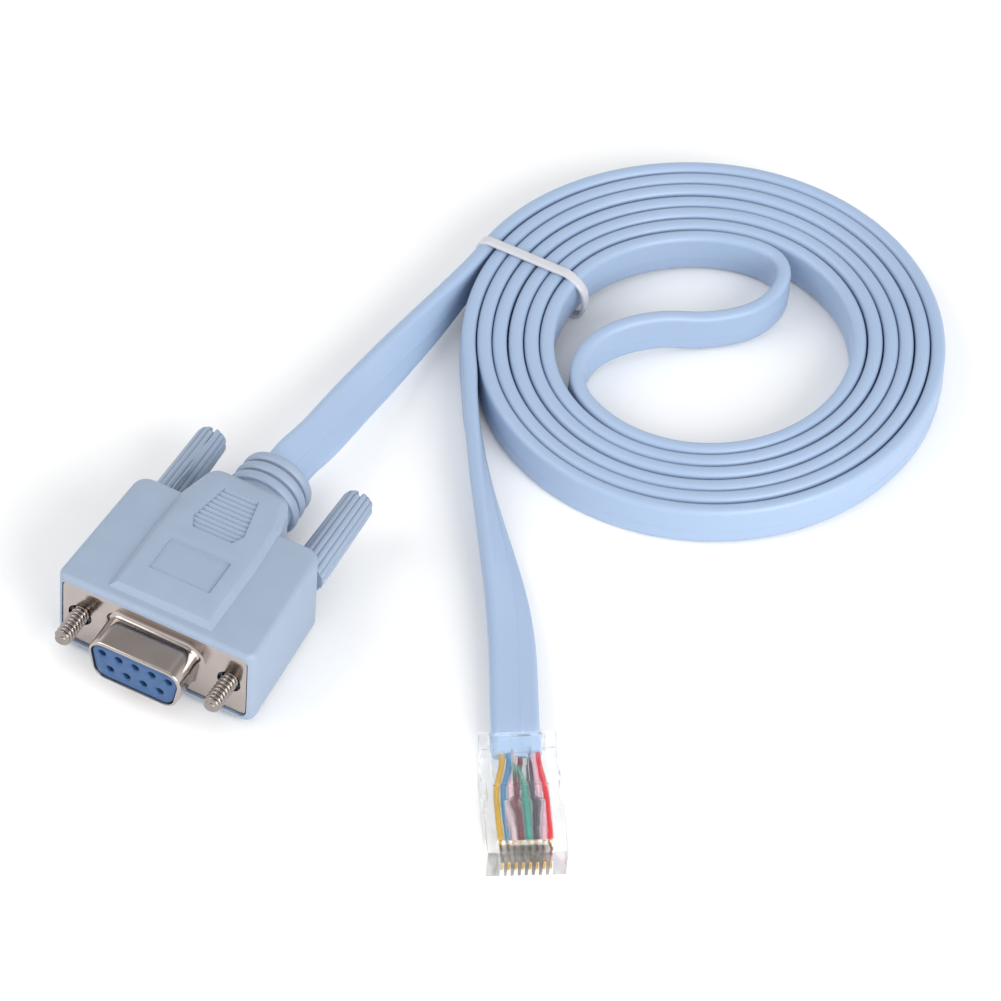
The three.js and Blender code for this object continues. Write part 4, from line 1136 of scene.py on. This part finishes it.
def wire(index, colour_name, colour, rear_shift):
    """Core from the cable's end to its blade, crossing its neighbours where it has to."""
    front_x = blade_place(index)
    rear_x = front_x * WIRE_REAR_PITCH / BLADE_PITCH + rear_shift
    height = WIRE_HEIGHT + (WIRE_CROSSING_LIFT if colour_name == CROSSING_WIRE else 0.0)
    rear = PLUG_LENGTH - JACKET_IN_PLUG
    points = (
        (front_x, WIRE_FRONT, WIRE_HEIGHT), (front_x, WIRE_STRAIGHT[0], WIRE_HEIGHT),
        (front_x, WIRE_STRAIGHT[1], WIRE_HEIGHT),
        (front_x * WIRE_PINCH, WIRE_BEND_START, WIRE_HEIGHT + WIRE_RISE),
        ((front_x + rear_x) / 2, WIRE_BEND_MIDDLE, height), (rear_x, WIRE_BEND_END, WIRE_HEIGHT),
        (rear_x, rear, WIRE_HEIGHT))
    middle = np.array(catmull(points, spans=5))
    turns = [2 * math.pi * side / WIRE_SIDES for side in range(WIRE_SIDES)]
    rings = [
        [(x + WIRE_RADIUS * math.cos(a), y, z + WIRE_RADIUS * math.sin(a)) for a in turns]
        for x, y, z in middle]
    obj = in_row(loft(f"core_{colour_name}", rings, sharp_angle=60))
    look = finish(
        f"core_{colour_name}", colour, 0.35, tint=0.05, tint_size=0.002, bump=0.000003)
    dress(obj, look)
    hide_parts(f"wire_{colour_name}")
    return obj


def blade(index):
    """Plated contact blade, a flat upright plate with rounded corners."""
    x = blade_place(index)
    front, back = BLADE_START, BLADE_START + BLADE_LENGTH
    corners = ((front, BLADE_BOTTOM), (back, BLADE_BOTTOM), (back, BLADE_TOP), (front, BLADE_TOP))
    obj = prism(f"contact_blade_{index + 1}", corners, BLADE_CORNER, x - BLADE_THICKNESS / 2,
                x + BLADE_THICKNESS / 2, rounded_edge(BLADE_EDGE, 2), axis="x")
    in_row(obj)
    dress(obj, LOOKS["gold"])
    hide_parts(f"blade_{index + 1}")
    return obj


# Stage

def area_light(name, place, power):
    data = bpy.data.lights.new(name, "AREA")
    data.shape = "DISK"
    data.size = LIGHT_SIZE
    data.energy = power
    light = bpy.data.objects.new(name, data)
    light.location = place
    aim = Vector(LIGHT_TARGET) - Vector(place)
    light.rotation_euler = aim.to_track_quat("-Z", "Y").to_euler()
    bpy.context.scene.collection.objects.link(light)


def stage():
    floor = loft("floor", [
        [(x, y, z) for x, y in box_corners(FLOOR_SIZE, FLOOR_SIZE)] for z in FLOOR_HEIGHTS])
    floor.data.materials.append(finish("floor", FLOOR_COLOUR, 0.7, tint=0.004, tint_size=0.3))
    for name, place, power in LIGHTS:
        area_light(name, place, power)
    studio()
    bpy.context.scene.view_settings.view_transform = "Standard"


def studio():
    """Surroundings of a light tent: bright low down, darker above, bright again at the top."""
    world = bpy.data.worlds.new("studio")
    world.use_nodes = True
    nodes = world.node_tree.nodes
    links = world.node_tree.links
    direction = nodes.new("ShaderNodeTexCoord")
    height = nodes.new("ShaderNodeSeparateXYZ")
    shades = nodes.new("ShaderNodeValToRGB")
    links.new(direction.outputs["Generated"], height.inputs["Vector"])
    links.new(height.outputs["Z"], shades.inputs["Fac"])
    ramp = shades.color_ramp
    for place, grey in STUDIO_GREYS:
        step = ramp.elements[0] if place == 0 else ramp.elements.new(place)
        step.color = (grey, grey, grey, 1)
    links.new(shades.outputs["Color"], nodes["Background"].inputs["Color"])
    nodes["Background"].inputs["Strength"].default_value = STUDIO_STRENGTH
    bpy.context.scene.world = world


flat_cable, cable_middle = cable()
tie_band = tie()
plug_pieces = [clear_plug()]
plug_pieces += [wire(i, name, colour, away) for i, (name, colour, away) in enumerate(WIRES)]
plug_pieces += [blade(index) for index in range(BLADE_COUNT)]

connector = [steel_shell(), insulator_block(), hood_cover()]
connector += [socket_contact(i + 1, x, z) for i, (x, z) in enumerate(contact_places())]
for side, name in ((-1, "left"), (1, "right")):
    connector += [thumbscrew(side, name), thumbscrew_grip(side, name)]
for piece in connector:
    shift(piece, 0, ROW_SHIFT, 0)

for piece in plug_pieces + [flat_cable, tie_band] + connector[:-4]:
    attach(piece, "cable")

stage()
